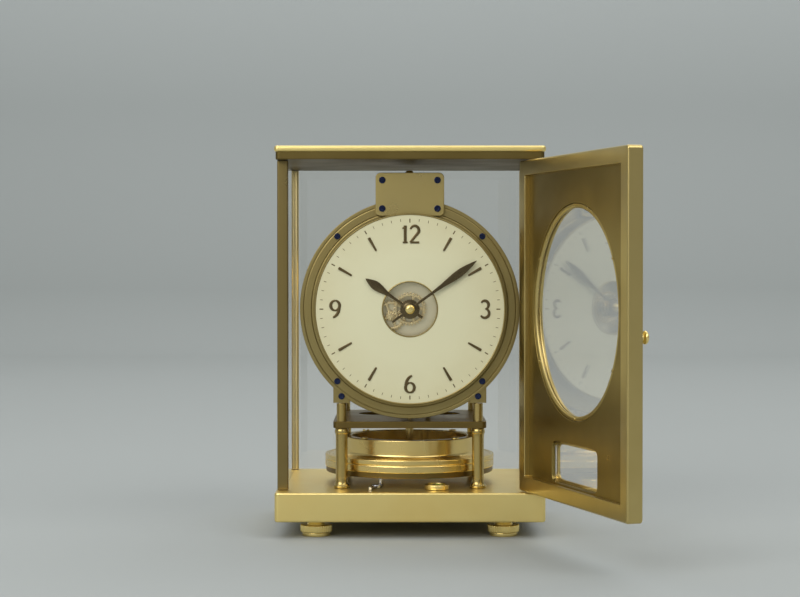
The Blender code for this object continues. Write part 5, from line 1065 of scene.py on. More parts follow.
def stroke(points, width):
    """A flat raised stroke of a numeral on the dial, along points, with a slight ridge."""
    return bar(points, width, DIAL_FRONT - HAIR, DIAL_FRONT + 0.0004, HAIR_EDGE, 0.00006)


def arc_points(x, y, radius_x, radius_y, start, end, count=28):
    """Points on part of an ellipse, angles in degrees."""
    angle = np.radians(np.linspace(start, end, count))
    return np.stack([x + radius_x * np.cos(angle), y + radius_y * np.sin(angle)], 1)


def numeral(digit, x, y, height):
    """The strokes of one plain numeral, its middle at (x, y). Heights and widths are shares of its height."""
    half = height / 2
    thick = height * 0.085
    thin = height * 0.045
    foot = y - half + thin

    def swelling(first, last, count):
        """A stroke's half width: thin, and thicker by the sine of an angle that runs from first to last."""
        return thin + (thick - thin) * np.sin(np.linspace(first, last, count))

    if digit == 1:
        flag = [(x - height * 0.16, y + half * 0.66), (x - height * 0.05, y + half * 0.8),
                (x, y + half * 0.97)]
        serif = [(x - height * 0.14, foot), (x, foot), (x + height * 0.14, foot)]
        stem = [(x, y - half), (x, y), (x, y + half)]
        return [stroke(stem, thick), stroke(flag, thin), stroke(serif, thin)]
    if digit == 2:
        left = x - height * 0.25
        bow = arc_points(x, y + half * 0.45, height * 0.24, half * 0.52, 165, -30)
        slope = np.linspace(bow[-1], (left, foot), 14)
        path = np.concatenate([bow, slope[1:]])
        base = [(left, foot), (x, foot), (x + height * 0.26, foot)]
        return [stroke(path, swelling(0.15, 2.7, len(path))), stroke(base, thin * 1.3)]
    if digit == 3:
        upper = arc_points(x, y + half * 0.48, height * 0.22, half * 0.48, 150, -80)
        lower = arc_points(x, y - half * 0.46, height * 0.25, half * 0.52, 80, -150)
        width = swelling(0.1, 3.0, len(upper))
        return [stroke(upper, width), stroke(lower, width)]
    side = 1 if digit == 6 else -1
    ends = (180, 100) if digit == 6 else (0, -80)
    middle = y - side * half * 0.42
    bowl = arc_points(x, middle, height * 0.25, half * 0.55, 90, 449, 48)
    bowl_angle = np.linspace(math.pi / 2, math.pi * 2.5, len(bowl))
    bowl_width = thin + (thick - thin) * np.abs(np.cos(bowl_angle))
    sweep = arc_points(x + side * height * 0.20, middle, height * 0.45, half * 1.36, *ends, 24)
    return [stroke(bowl, bowl_width), stroke(sweep, swelling(2.8, 0.2, len(sweep)))]


def hand(length, tail, hub, neck, leaf, low, high):
    """A leaf hand along +y: its width is neck + (leaf - neck) sin(pi s^2)^2 at the share s of its length
    beyond the hub, drawn in to a point at the tip, and its top rises to a ridge."""
    tip = 0.07
    ridge = 0.0002
    cap = 0.00025
    share = np.linspace(0, 1, 60)
    line = np.stack([0 * share, -tail + (length + tail) * share], 1)
    reach = np.clip((line[:, 1] - hub) / (length - hub), 0, 1)
    width = neck / 2 + (leaf - neck) / 2 * np.sin(math.pi * reach ** 2) ** 2
    pointed = np.sqrt(np.clip((1.0 - reach) / tip, 0.04, 1))
    blade = bar(line, width * np.where(reach > 1 - tip, pointed, 1), low, high, 0.00012, ridge)
    boss = [(0, low), (hub, low), (hub, high), (hub * 0.55, high + cap), (0, high + cap)]
    return together([blade, lathe(boss, WHEEL_STEPS, 0.00015)])


def build_dial():
    """The cream dial on three feet, with a ring round its edge and one round its middle, in a gilt darkened
    as painted shade.
    """
    face = lathe([
        (DIAL_OPENING, DIAL_BACK), (DIAL_RADIUS, DIAL_BACK), (DIAL_RADIUS, DIAL_FRONT - 0.0002),
        (DIAL_RADIUS - 0.0003, DIAL_FRONT), (DIAL_OPENING, DIAL_FRONT),
    ], DIAL_STEPS, 0.00015, True)
    foot = rod(0.0015, DIAL_FOOT_BACK, DIAL_BACK + 0.0002, PIN_STEPS, FINE_EDGE)
    feet = [facing(foot, *polar(DIAL_FEET, math.radians(angle))) for angle in (30, 150, 270)]
    make("dial_face", [facing(face)] + feet, dial_cream, "case", "dial", slot="cream_enamel")
    outer = lathe([
        (DIAL_RADIUS - 0.001, DIAL_FRONT - 0.0002), (DIAL_RADIUS, DIAL_FRONT - 0.0006),
        (DIAL_RADIUS, DIAL_FRONT + 0.0002), (DIAL_RADIUS - 0.0004, DIAL_FRONT + 0.0005),
        (DIAL_RADIUS - 0.0009, DIAL_FRONT + 0.0003),
    ], DIAL_STEPS, FINE_EDGE, True)
    inner = lathe([
        (DIAL_OPENING, DIAL_BACK + 0.0002), (DIAL_OPENING + 0.0008, DIAL_BACK + 0.0002),
        (DIAL_OPENING + 0.0008, DIAL_FRONT + 0.0002), (DIAL_OPENING + 0.0003, DIAL_FRONT + 0.0004),
        (DIAL_OPENING, DIAL_FRONT + 0.0002),
    ], PANE_STEPS, FINE_EDGE, True)
    make("dial_rings", [facing(outer), facing(inner)], ring_gilt, "case")


def build_marks():
    """Applied numerals at the quarters, a baton at each other hour, and sixty minute marks."""
    marks = []
    for i, digits in enumerate(((1, 2), (3,), (6,), (9,))):
        x, up = polar(NUMERAL_RADIUS, TURN / 4 - TURN * i / 4)
        for place, digit in enumerate(digits):
            shift = (place - (len(digits) - 1) / 2) * NUMERAL_PITCH
            marks += numeral(digit, x + shift, up, NUMERAL_HEIGHT)
    baton = bar([(0.0400, 0), (0.0405, 0), (0.0485, 0), (0.0490, 0)], [0.0004, 0.0006, 0.0009, 0.0007],
                DIAL_FRONT - HAIR, DIAL_FRONT + 0.0005, HAIR_EDGE, 0.0001)
    marks += [turned_about(baton, TURN / 4 - TURN * hour / 12) for hour in range(12) if hour % 3]
    make("hour_marks", [facing(one) for one in marks], numeral_bronze, "case", slot="dark_gilt")
    track = []
    for minute in range(60):
        start, half_width = (0.0522, 0.00016) if minute % 5 else (0.0515, 0.00032)
        tick = bar([(start, 0), (0.0538, 0)], half_width, DIAL_FRONT - 0.00008, DIAL_FRONT + 0.00006, 0.00003)
        track.append(facing(turned_about(tick, TURN * minute / 60)))
    make("minute_track", track, numeral_bronze, "case", slot="dark_gilt")


def build_hands():
    """Two leaf hands at ten past ten and the nut that holds them."""
    hour = hand(length=0.032, tail=0.009, hub=0.0058, neck=0.0016, leaf=0.0054, low=0.0536, high=0.0543)
    make("hour_leaf", [facing(turned_about(hour, HOUR_ANGLE))], hand_bronze, "hour", "hour_hand",
         slot="dark_gilt")
    minute = hand(length=0.049, tail=0.013, hub=0.0042, neck=0.0015, leaf=0.0046, low=0.0552, high=0.0558)
    make("minute_leaf", [facing(turned_about(minute, MINUTE_ANGLE))], hand_bronze, "minute", "minute_hand",
         slot="dark_gilt")
    radius, front = half_across("hand_nut"), depths("hand_nut")[1]
    nut = lathe([
        (0, 0.0562), (radius, 0.0562), (radius, 0.0569), (0.0020, 0.0576), (0.0012, front), (0, front),
    ], KNOB_STEPS, 0.00025)
    make("hand_nut_turning", [facing(nut)], turned_gilt, "minute", "hand_nut", slot="dark_gilt")


# Wheels

MOTION_PLACE = seen_facing(PIVOTS["motion"])[:2]
MOTION_ANGLE = math.atan2(MOTION_PLACE[1], MOTION_PLACE[0])
MINUTE_BORE = 0.0011
HOUR_BORE = 0.0020
HOUR_WHEEL_LOW = depths("hour_wheel")[0]
BARREL_PLACE = seen_facing(PIVOTS["barrel"])[:2]
BARREL_ANGLE = math.atan2(BARREL_PLACE[1], BARREL_PLACE[0])
BARREL_BORE = 0.0018
# Back and front of the great wheel
GREAT_WHEEL = (0.0305, 0.0319)
PINION_ARBOR = 0.0008
ARBOR_LOW, ARBOR_HIGH = depths("contrate_wheel")
CONTRATE_UP = seen_facing(PIVOTS["contrate"])[1]
CONTRATE_TEETH = 20


def pinion(teeth, start, low, high):
    """A small solid gear, one of its teeth at the angle start."""
    return slab(toothed(teeth, start), low, high, HAIR_EDGE)


def tooth_share(teeth, points_per_tooth):
    """How far through its tooth each point of a wheel's outline lies, from 0 to 1."""
    return (round_angles(teeth * points_per_tooth) * teeth / TURN) % 1


def build_motion_work():
    """Cannon pinion, hour wheel on its pipe, and the minute wheel with its pinion beside them."""
    ten_teeth = toothed(10, MOTION_ANGLE + TURN / 20)
    rear, front = depths("cannon_pinion")
    cannon = band(ten_teeth, ring_of(MINUTE_BORE, len(ten_teeth)), rear, 0.0470, HAIR_EDGE)
    pipe = tube(MINUTE_BORE, 0.0017, 0.0468, front, STUD_STEPS)
    make("cannon_wheel", [facing(cannon), facing(pipe)], steel, "minute", "cannon_pinion")
    hour = wheel(toothed(32, MOTION_ANGLE), rim=0.0078, hub=0.0042, bore=HOUR_BORE, low=HOUR_WHEEL_LOW,
                 high=0.0487, arms=5, arm_width=0.0016)
    hour_pipe = tube(HOUR_BORE, 0.0028, HOUR_WHEEL_LOW, 0.0546, KNOB_STEPS)
    make("hour_wheel_cut", [facing(hour), facing(hour_pipe)], wheel_brass, "hour", "hour_wheel")
    back = MOTION_ANGLE + math.pi
    minute_top = 0.0465
    minute = wheel(toothed(30, back), rim=0.0071, hub=0.0030, bore=PINION_ARBOR, low=0.0454, high=minute_top,
                   arms=4, arm_width=0.0015, start=0.4)
    small = pinion(8, back + TURN / 16, minute_top, 0.0491)
    arbor = rod(PINION_ARBOR, 0.0420, 0.0496)
    sheets = [facing(one, *MOTION_PLACE) for one in (minute, small, arbor)]
    make("minute_wheel_cut", sheets, wheel_brass, "motion", "minute_wheel")


def build_barrel():
    """The mainspring's barrel with its great wheel, and the arbor with its ratchet and click."""
    sixty_teeth = toothed(60, BARREL_ANGLE + math.pi)
    great = band(sixty_teeth, ring_of(0.0030, len(sixty_teeth)), *GREAT_WHEEL, WHEEL_EDGE)
    rear, front = depths("barrel")
    boss, wall, drum_rear, drum_front = 0.0032, 0.0155, 0.0312, 0.0384
    drum = lathe([
        (BARREL_BORE, rear), (boss, rear), (boss, drum_rear), (wall, drum_rear), (wall, drum_front),
        (0.0135, drum_front), (0.0132, 0.0380), (0.0060, 0.0380), (boss, drum_front), (boss, front),
        (BARREL_BORE, front),
    ], HUB_STEPS, SOFT_EDGE, True)
    sheets = [facing(great, *BARREL_PLACE), facing(drum, *BARREL_PLACE)]
    make("going_barrel", sheets, wheel_brass, "barrel", "barrel")
    root, depth, steepness = 0.0062, 0.0010, 1.15
    ratchet_teeth = root + depth * np.clip(1 - tooth_share(20, 12) * steepness, 0, 1)
    ratchet = slab(ring_of(ratchet_teeth, len(ratchet_teeth)), 0.0175, 0.0188, HAIR_EDGE)
    arbor = rod(0.0015, *depths("barrel_arbor"), STUD_STEPS, FINE_EDGE)
    sheets = [facing(ratchet, *BARREL_PLACE), facing(arbor, *BARREL_PLACE)]
    make("winding_arbor", sheets, steel, "case", "barrel_arbor", slot="polished_steel")
    dressed("ratchet_click", steel, "case", HAIR_EDGE)


def build_train():
    """The centre wheel, and the contrate wheel whose teeth stand up from the edge of its disc."""
    centre = wheel(toothed(48, -TURN / 4 + TURN / 96), rim=0.0118, hub=0.0034, bore=0.0009, low=0.0233,
                   high=0.0245, arms=5, arm_width=0.0018)
    driven = pinion(10, BARREL_ANGLE + TURN / 20, 0.0295, 0.0330)
    shoulder, front = 0.0445, depths("centre_wheel")[1]
    arbor = lathe([
        (0, ARBOR_LOW), (0.0010, ARBOR_LOW), (0.0010, shoulder), (PINION_ARBOR, shoulder),
        (PINION_ARBOR, front), (0, front),
    ], PIN_STEPS, HAIR_EDGE)
    sheets = [facing(one) for one in (centre, driven, arbor)]
    make("centre_wheel_cut", sheets, wheel_brass, "minute", "centre_wheel")

    driven = pinion(16, TURN / 4, 0.0226, 0.0252)
    disc = rod(0.00695, 0.0360, 0.0375, WHEEL_STEPS, FINE_EDGE)
    arbor = rod(PINION_ARBOR, ARBOR_LOW, ARBOR_HIGH)
    tooth = bar([(0.0052, 0), (0.0060, 0), (0.0068, 0)], 0.00030, 0.03485, 0.0362, HAIR_EDGE)
    sheets = [facing(one, 0, CONTRATE_UP) for one in [driven, disc, arbor] + spread(tooth, CONTRATE_TEETH)]
    make("contrate_wheel_cut", sheets, wheel_brass, "contrate", "contrate_wheel")


# Escapement

ESCAPE_Y = PIVOTS["escape"][1] - AXIS_Y
ESCAPE_COCK_TOP = heights("escape_cock")[1]
PALLET_Y = PIVOTS["pallets"][1] - AXIS_Y
PALLET_COCK_TOP = heights("pallet_cock")[1]
PALLET_ANGLE = math.radians(30)
# Low and high face of the lever, and of the escape wheel beside it
LEVER = (0.0711, 0.0723)
LEVER_EDGE = 0.00015


def build_escape_wheel():
    """The escape wheel, with the rise of its teeth drawn as straight lines, on an upright pinion arbor."""
    teeth, points_per_tooth = 15, 20
    root, tooth = 0.0065, 0.0020
    corner_shares, rise_shares = [0, 0.42, 0.54, 0.62, 1], [0, 0.85, 1, 0, 0]
    rise = np.interp(tooth_share(teeth, points_per_tooth), corner_shares, rise_shares)
    outline = ring_of(root + tooth * rise, teeth * points_per_tooth)
    low, high = LEVER
    cut = wheel(outline, rim=0.0055, hub=0.0024, bore=0.0009, low=low, high=high, arms=3, arm_width=0.0014)
    driven = pinion(15, -TURN / 4 + TURN / 30, 0.1092, 0.1114)
    foot, top = heights("escape_wheel")
    arbor = lathe([
        (0, foot), (0.0008, foot), (0.0008, 0.0704), (0.0018, 0.0706), (0.0018, 0.0712),
        (0.0010, 0.0726), (0.0010, 0.1092), (0.0010, 0.1114), (0.0008, 0.1116), (0.0008, top), (0, top),
    ], PIN_STEPS, HAIR_EDGE)
    sheets = [standing(one, 0, ESCAPE_Y) for one in (cut, driven, arbor)]
    make("escape_wheel_cut", sheets, wheel_brass, "escape", "escape_wheel")


def build_lever():
    """The lever: a stem with a fork in front and an arm to each ruby pallet."""
    stem = bar([(0, -0.0024), (0, 0), (0, 0.0022), (0, 0.0080)], [0.0016, 0.0021, 0.0011, 0.0009], *LEVER,
               LEVER_EDGE)
    arbor = rod(PINION_ARBOR, *heights("pallet_lever"))
    sheets = [stem, arbor]
    pallets = []
    for side in (-1, 1):
        horn = [(side * 0.0004, 0.0079), (side * 0.00125, 0.0092), (side * 0.00128, 0.0118)]
        arm = [(side * 0.0008, -0.0004), (side * 0.0034, -0.0022), (side * 0.0052, -0.0036)]
        sheets.append(bar(horn, [0.0006, 0.0005, 0.0004], *LEVER, HAIR_EDGE))
        sheets.append(bar(arm, [0.0012, 0.0009, 0.0008], *LEVER, LEVER_EDGE))
        face = [
            (side * reach * math.sin(PALLET_ANGLE), ESCAPE_Y - PALLET_Y + reach * math.cos(PALLET_ANGLE))
            for reach in (0.0092, 0.0112)
        ]
        pallets.append(bar(face, 0.00042, 0.07125, 0.07215, 0.00008))
    make("lever_steel", [standing(one, 0, PALLET_Y) for one in sheets], steel, "pallets", "pallet_lever",
         slot="polished_steel")
    make("pallet_stones", [standing(one, 0, PALLET_Y) for one in pallets], ruby, "pallets",
         slot="polished_steel")


def build_cocks():
    """The two cocks, a jewel in a turned setting on each, and their screws."""
    dressed("escape_cock", plate_gilt, "case", FINE_EDGE)
    dressed("pallet_cock", plate_gilt, "case", FINE_EDGE)
    bore, jewel_out, setting_out = 0.0008, 0.0016, 0.0021
    jewel = lathe([(bore, 0), (jewel_out, 0), (jewel_out, 0.0002), (bore, 0.0003)],
                  STUD_STEPS, HAIR_EDGE, True)
    setting = lathe([(jewel_out, -HAIR), (setting_out, -HAIR), (setting_out, 0.0003), (jewel_out, 0.0002)],
                    STUD_STEPS, HAIR_EDGE, True)
    places = ((0, PALLET_Y, PALLET_COCK_TOP), (0, ESCAPE_Y, ESCAPE_COCK_TOP))
    make("cock_jewels", [standing(jewel, *place) for place in places], ruby, "case")
    make("jewel_settings", [standing(setting, *place) for place in places], turned_gilt, "case")
    upright = heads(0.0014, 0.0008, [(0.0112, PALLET_Y, 0.5)])
    level = heads(0.0012, 0.0006, [(-0.0105, -0.0265, 1.1)])
    sheets = [standing(upright[0], z=PALLET_COCK_TOP - HAIR), facing(level[0], forward=0.0377)]
    make("cock_screws", sheets, blued, "case", slot="polished_steel")


def build_roller():
    """The roller on the pendulum's staff, with its ruby impulse pin."""
    low, pin_top = heights("roller")
    disc = tube(0.0021, half_across("roller"), low, 0.0706, WHEEL_STEPS, SOFT_EDGE)
    make("roller_disc", [standing(disc)], steel, "pendulum", "roller", slot="polished_steel")
    pin = rod(0.0006, 0.0704, pin_top, 24)
    make("impulse_stone", [standing(pin, 0, -0.005)], ruby, "pendulum", slot="polished_steel")


# Pendulum and suspension

RIM_OUT = half_across("pendulum_wheel")
RIM_IN = 0.0360
RIM_NECK = 0.0420
RIM_LOW = 0.0372
RIM_SHOULDER = 0.0450
RIM_HIGH = 0.0560
FOOT_RING_LOW, STAFF_HIGH = heights("pendulum_wheel")
RIM_LINE = 0.0004
ARM_LOW = 0.0380
ARM_HIGH = 0.0420
TIMING_SCREWS = 0.0390
TUBE_BORE = 0.0022
TUBE_LOW, TUBE_HIGH = heights("suspension_tube")


def build_pendulum():
    """The pendulum: a heavy grooved rim with a raised inner ring, four tapered arms, boss and staff, and
    under the rim a dark foot ring that is painted shade.
    """
    foot = tube(0.0365, 0.0519, FOOT_RING_LOW, 0.0378, RIM_STEPS, FULL_EDGE)
    make("pendulum_foot_ring", [standing(foot)], pendulum_bronze, "pendulum")
    rim = lathe([
        (RIM_IN, RIM_LOW), (RIM_OUT, RIM_LOW), (RIM_OUT, 0.0412), (RIM_OUT - RIM_LINE, 0.0416),
        (RIM_OUT, 0.0420), (RIM_OUT, RIM_SHOULDER), *groove(0.0498, RIM_SHOULDER, RIM_LINE),
        (0.0445, RIM_SHOULDER), (0.0430, 0.0454), (RIM_NECK, 0.0466), (RIM_NECK, RIM_HIGH),
        (RIM_IN, RIM_HIGH),
    ], RIM_STEPS, FULL_EDGE, True)
    boss = lathe([
        (0, ARM_LOW), (0.0100, ARM_LOW), (0.0100, ARM_HIGH), (0.0085, 0.0424), (0.0070, 0.0440),
        (0.0070, 0.0480), (0.0040, 0.0484), (0.0025, 0.0500), (0.0025, 0.0689), (0.0018, 0.0689),
        (0.0018, STAFF_HIGH), (0, STAFF_HIGH),
    ], HUB_STEPS, PLAIN_EDGE)
    arm = bar([(0.008, 0), (0.012, 0), (0.024, 0), (0.033, 0), (RIM_IN + 0.001, 0)],
              [0.0070, 0.0062, 0.0052, 0.0062, 0.0080], ARM_LOW, ARM_HIGH, 0.0008)
    sheets = [standing(one) for one in [rim, boss] + spread(arm, 4)]
    make("pendulum_turning", sheets, pendulum_gilt, "pendulum", "pendulum_wheel")
    places = []
    for i in range(4):
        angle = TURN * (i + 0.5) / 4
        places.append((*polar(TIMING_SCREWS, angle), angle + 0.7 * i))
    screws = [standing(one, z=RIM_HIGH - 0.0002) for one in heads(0.0022, 0.0010, places)]
    make("timing_screws", screws, turned_gilt, "pendulum")


def build_suspension():
    """The wire, and the tube round it with a collar below and a flange under the bridge."""
    repaint("suspension_wire", steel)
    collar, body, flange = 0.0043, 0.0035, 0.0065
    turning = lathe([
        (TUBE_BORE, TUBE_LOW), (collar, TUBE_LOW), (collar, 0.0830), (0.0038, 0.0836), (body, 0.0850),
        (body, 0.1995), (0.0040, 0.2020), (flange, 0.2027), (flange, TUBE_HIGH), (TUBE_BORE, TUBE_HIGH),
    ], WHEEL_STEPS, PLAIN_EDGE, True)
    make("suspension_tube_turning", [standing(turning)], turned_gilt, "case", "suspension_tube")


# Bridge and regulator

# Back and front of the face plate, and low and high of the shelf and of the regulator
BRIDGE_FACE = (0.0443, 0.0476)
BRIDGE_SHELF = (0.2050, 0.2090)
REGULATOR = (0.2103, 0.2117)
BRIDGE_SCREW_X = 0.0165
BRIDGE_SCREW_LEVELS = (0.0600, 0.0770)
SCALE_START = 0.0315
SCALE_END = 0.0345
SCALE_LONG_END = 0.0355
SCALE_STEP = math.radians(3)


def build_bridge():
    """The bridge's face plate with its screws, and the shelf behind it."""
    low, high = heights("top_bridge")
    plate = slab(rounded_box(half_across("top_bridge"), (high - low) / 2, 0.003), *BRIDGE_FACE, PLAIN_EDGE)
    shelf = slab(rounded_box(0.009, 0.02665, 0.0006, 4), *BRIDGE_SHELF, PLAIN_EDGE)
    sheets = [facing(plate, 0, (low + high) / 2 - DIAL_Z), standing(shelf, 0, -0.01765)]
    make("bridge_plates", sheets, bridge_gilt, "case", "top_bridge")
    places = [
        (side * BRIDGE_SCREW_X, up, side + up * 30) for side in (-1, 1) for up in BRIDGE_SCREW_LEVELS
    ]
    screws = [facing(one, forward=BRIDGE_FACE[1]) for one in heads(0.0020, 0.0009, places)]
    make("bridge_screws", screws, blued, "case", slot="polished_steel")


def build_suspension_nut():
    """The knurled nut on the bridge that holds the wire, with its collar, finial and stem."""
    collar = rod(0.0035, 0.2093, 0.2128, WHEEL_STEPS, SOFT_EDGE)
    grip = slab(knurled(half_across("suspension_nut"), 0.00025, 32), 0.2126, 0.2166, BROAD_EDGE)
    top = heights("suspension_nut")[1]
    finial = lathe([
        (0, 0.2164), (0.0026, 0.2164), (0.0022, 0.2176), (0.0026, 0.2190), (0.0022, 0.2204), (0, top),
    ], KNOB_STEPS, BROAD_EDGE)
    stem = rod(0.0020, BRIDGE_SHELF[0], 0.2096, STUD_STEPS, FINE_EDGE)
    sheets = [standing(one) for one in (collar, grip, finial, stem)]
    make("suspension_nut_turning", sheets, turned_gilt, "case", "suspension_nut")


def build_regulator():
    """The regulator's ring and pointer, and the scale that it is read against."""
    ring = band(ring_of(0.006, WHEEL_STEPS), ring_of(0.0038, WHEEL_STEPS), *REGULATOR, FINE_EDGE)
    pointer = bar([(0, -0.0052), (0, -0.012), (0, -0.032), (0, -0.034)], [0.0016, 0.0011, 0.0006, 0.0003],
                  *REGULATOR, FINE_EDGE)
    make("regulator_pointer", [standing(ring), standing(pointer)], steel, "regulator", "regulator_lever")
    ticks = []
    for i in range(-5, 6):
        end = SCALE_END if i % 5 else SCALE_LONG_END
        tick = bar([(SCALE_START, 0), (end, 0)], 0.00018, BRIDGE_SHELF[1] - HAIR, BRIDGE_SHELF[1] + 0.00015,
                   0.00004)
        ticks.append(standing(turned_about(tick, -TURN / 4 + SCALE_STEP * i)))
    make("regulator_scale", ticks, numeral_bronze, "case", slot="dark_gilt")


# Bellows

DRUM_OUT = 0.0500
DRUM_IN = 0.0475
DRUM_REAR, STAY_FRONT = depths("bellows_housing")
DRUM_FRONT = -0.0080
DRUM_BORE = 0.0040
# Rear and front of the strap round the drum
STRAP = (-0.0440, -0.0360)
COVER_REAR, COVER_FRONT = depths("housing_cover")
COVER_OUT = half_across("housing_cover")
COVER_SCREWS = 0.0455
# Where the folds begin and end, as y in the scene
CAPSULE_REAR = 0.0025
CAPSULE_FRONT = -0.0205
SPRING_RADIUS = 0.030
SPRING_TURNS = 3.5
SPRING_LOW = -0.0236
SPRING_HIGH = -0.0118
SPRING_POINTS = 240
CHAIN_WHEEL = seen_facing(PIVOTS["chain_drive"])
CHAIN_WHEEL_GROOVE = 0.005
GUIDE_PULLEY = seen_facing(PIVOTS["pulley"])
GUIDE_PULLEY_GROOVE = 0.003
CHAIN_REAR = -0.0077
LINK_PITCH = 0.00098
LINK_LENGTH = 0.00072
LINK_WIDTH = 0.00036
LINK_WIRE = 0.00013


def build_drum():
    """The drum's wall and strap, two tabs to the pillars, three stays to the plate, and its screwed cover."""
    floor = DRUM_FRONT - 0.0025
    wall = lathe([
        (DRUM_IN, DRUM_REAR), (DRUM_OUT, DRUM_REAR), (DRUM_OUT, DRUM_FRONT), (DRUM_BORE, DRUM_FRONT),
        (DRUM_BORE, floor), (DRUM_IN, floor),
    ], RING_STEPS, BROAD_EDGE, True)
    strap = tube(DRUM_OUT - 0.001, DRUM_OUT + 0.0015, *STRAP, RING_STEPS, BROAD_EDGE)
    tabs = [bar([(x, -0.0290), (x, -0.0450)], 0.005, *STRAP, BROAD_EDGE) for x in (-PILLAR_X, PILLAR_X)]
    stay = rod(0.0020, -0.0085, STAY_FRONT, STUD_STEPS, FINE_EDGE)
    stays = [moved(stay, *polar(0.0285, math.radians(angle))) for angle in (35, 110, -40)]
    sheets = [facing(one) for one in [wall, strap] + tabs + stays]
    make("drum_turning", sheets, drum_gilt, "case", "bellows_housing")
    cover_in, lip, cover_face = 0.0380, 0.0503, -0.0523
    cover = lathe([
        (cover_in, COVER_REAR), (COVER_OUT, COVER_REAR), (COVER_OUT, COVER_FRONT), (lip, COVER_FRONT),
        (lip, cover_face), (cover_in, cover_face),
    ], RING_STEPS, BROAD_EDGE, True)
    make("drum_cover", [facing(cover)], drum_gilt, "case", "housing_cover")
    head = screw(0.0017, 0.0008)
    screws = []
    for i in range(6):
        angle = TURN * i / 6 + 0.3
        turned_head = mirrored(turned_about(head, angle * 2.1))
        screws.append(facing(turned_head, *polar(COVER_SCREWS, angle), COVER_REAR))
    make("cover_screws", screws, blued, "case", slot="polished_steel")


def build_capsule():
    """The capsule: its rear face ripples as a cosine of the radius, and its side folds as a cosine of the
    depth. The push plate and the round spring lie before it."""
    stud, stud_rear, stud_front = 0.0030, -0.0530, -0.0510
    ripple_start, ripple_end, ripple_length, ripple_height = 0.0032, 0.0445, 0.0059, 0.0007
    folds, fold_depth, side_radius = 5, 0.0028, 0.0424
    side_rear, side_length, front = -0.0505, 0.0233, -0.0268
    reach = np.linspace(ripple_start, ripple_end, 120)
    wave = np.cos((reach - ripple_start) / ripple_length * TURN)
    ripple = np.stack([reach, -0.0515 + ripple_height * wave], 1)
    share = np.linspace(0, 1, 160)
    side = side_radius + fold_depth * np.cos(share * TURN * folds + math.pi)
    sides = np.stack([side, side_rear + side_length * share], 1)
    rear_stud = [(0, stud_rear), (stud, stud_rear), (stud, stud_front)]
    profile = np.concatenate([rear_stud, ripple, sides, [(0, front)]])
    make("capsule_folds", [facing(lathe(profile, HUB_STEPS))], capsule_brass, "case", "bellows_capsule",
         sharp=CAPSULE_SHARP_ANGLE, bend=("bellows", (0, CAPSULE_REAR, DIAL_Z), (0, CAPSULE_FRONT, DIAL_Z)))
    repaint("push_plate", plate_gilt)
    angle = np.linspace(0, SPRING_TURNS * TURN, SPRING_POINTS)
    depth = np.linspace(SPRING_LOW, SPRING_HIGH, SPRING_POINTS)
    coil = np.column_stack([at_angles(angle, SPRING_RADIUS), depth])
    make("spring_coil", [facing(wire(coil, 0.001, 16))], steel, "bellows", "bellows_spring",
         slot="polished_steel",
         bend=("case", (0, AXIS_Y - SPRING_LOW, DIAL_Z), (0, AXIS_Y - SPRING_HIGH, DIAL_Z)))


def build_chain():
    """The winding chain: oval links, each next one turned a quarter, along the run over pulley and wheel."""
    x, up, forward = GUIDE_PULLEY
    run = np.array([(x, up - GUIDE_PULLEY_GROOVE, CHAIN_REAR), (x, up - GUIDE_PULLEY_GROOVE, forward)])
    bend = np.linspace(0, TURN / 4, 24)[1:]
    corner = np.stack([
        np.full(len(bend), x), up - GUIDE_PULLEY_GROOVE * np.cos(bend),
        forward + GUIDE_PULLEY_GROOVE * np.sin(bend),
    ], 1)
    wrap = np.radians(np.linspace(180, -20, 60))
    level = np.zeros(len(wrap))
    round_wheel = np.column_stack([at_angles(wrap, CHAIN_WHEEL_GROOVE), level]) + CHAIN_WHEEL
    path = np.concatenate([run, corner, round_wheel])
    length = np.concatenate([[0], np.cumsum(np.linalg.norm(np.diff(path, axis=0), axis=1))])
    count = int(length[-1] / LINK_PITCH)
    at = (np.arange(count) + 0.5) * length[-1] / count

    def along_path(reach):
        """The points of the path at these distances from its start."""
        return np.stack([np.interp(reach, length, path[:, i]) for i in range(3)], 1)

    step = 0.0002
    middle = along_path(at)
    along = along_path(at + step) - along_path(at - step)
    along /= np.maximum(np.linalg.norm(along, axis=1, keepdims=True), TINY)
    side = np.cross(along, (0.37, 0.13, 0.92))
    side /= np.linalg.norm(side, axis=1, keepdims=True)
    pushed, wound = [], []
    angle = round_angles(12)
    for i in range(count):
        across = side[i] if i % 2 else np.cross(along[i], side[i])
        oval = middle[i] + np.outer(LINK_LENGTH * np.cos(angle), along[i])
        oval += np.outer(LINK_WIDTH * np.sin(angle), across)
        link = facing(wire(oval, LINK_WIRE, 5, True, np.cross(along[i], across)))
        (pushed if at[i] < length[1] else wound).append(link)
    start, end = facing((run, None))[0]
    make("pushed_chain", pushed, steel, "bellows", "winding_chain", slot="polished_steel",
         bend=("case", tuple(start), tuple(end)))
    make("wound_chain", wound, steel, "case", "winding_chain", slot="polished_steel")


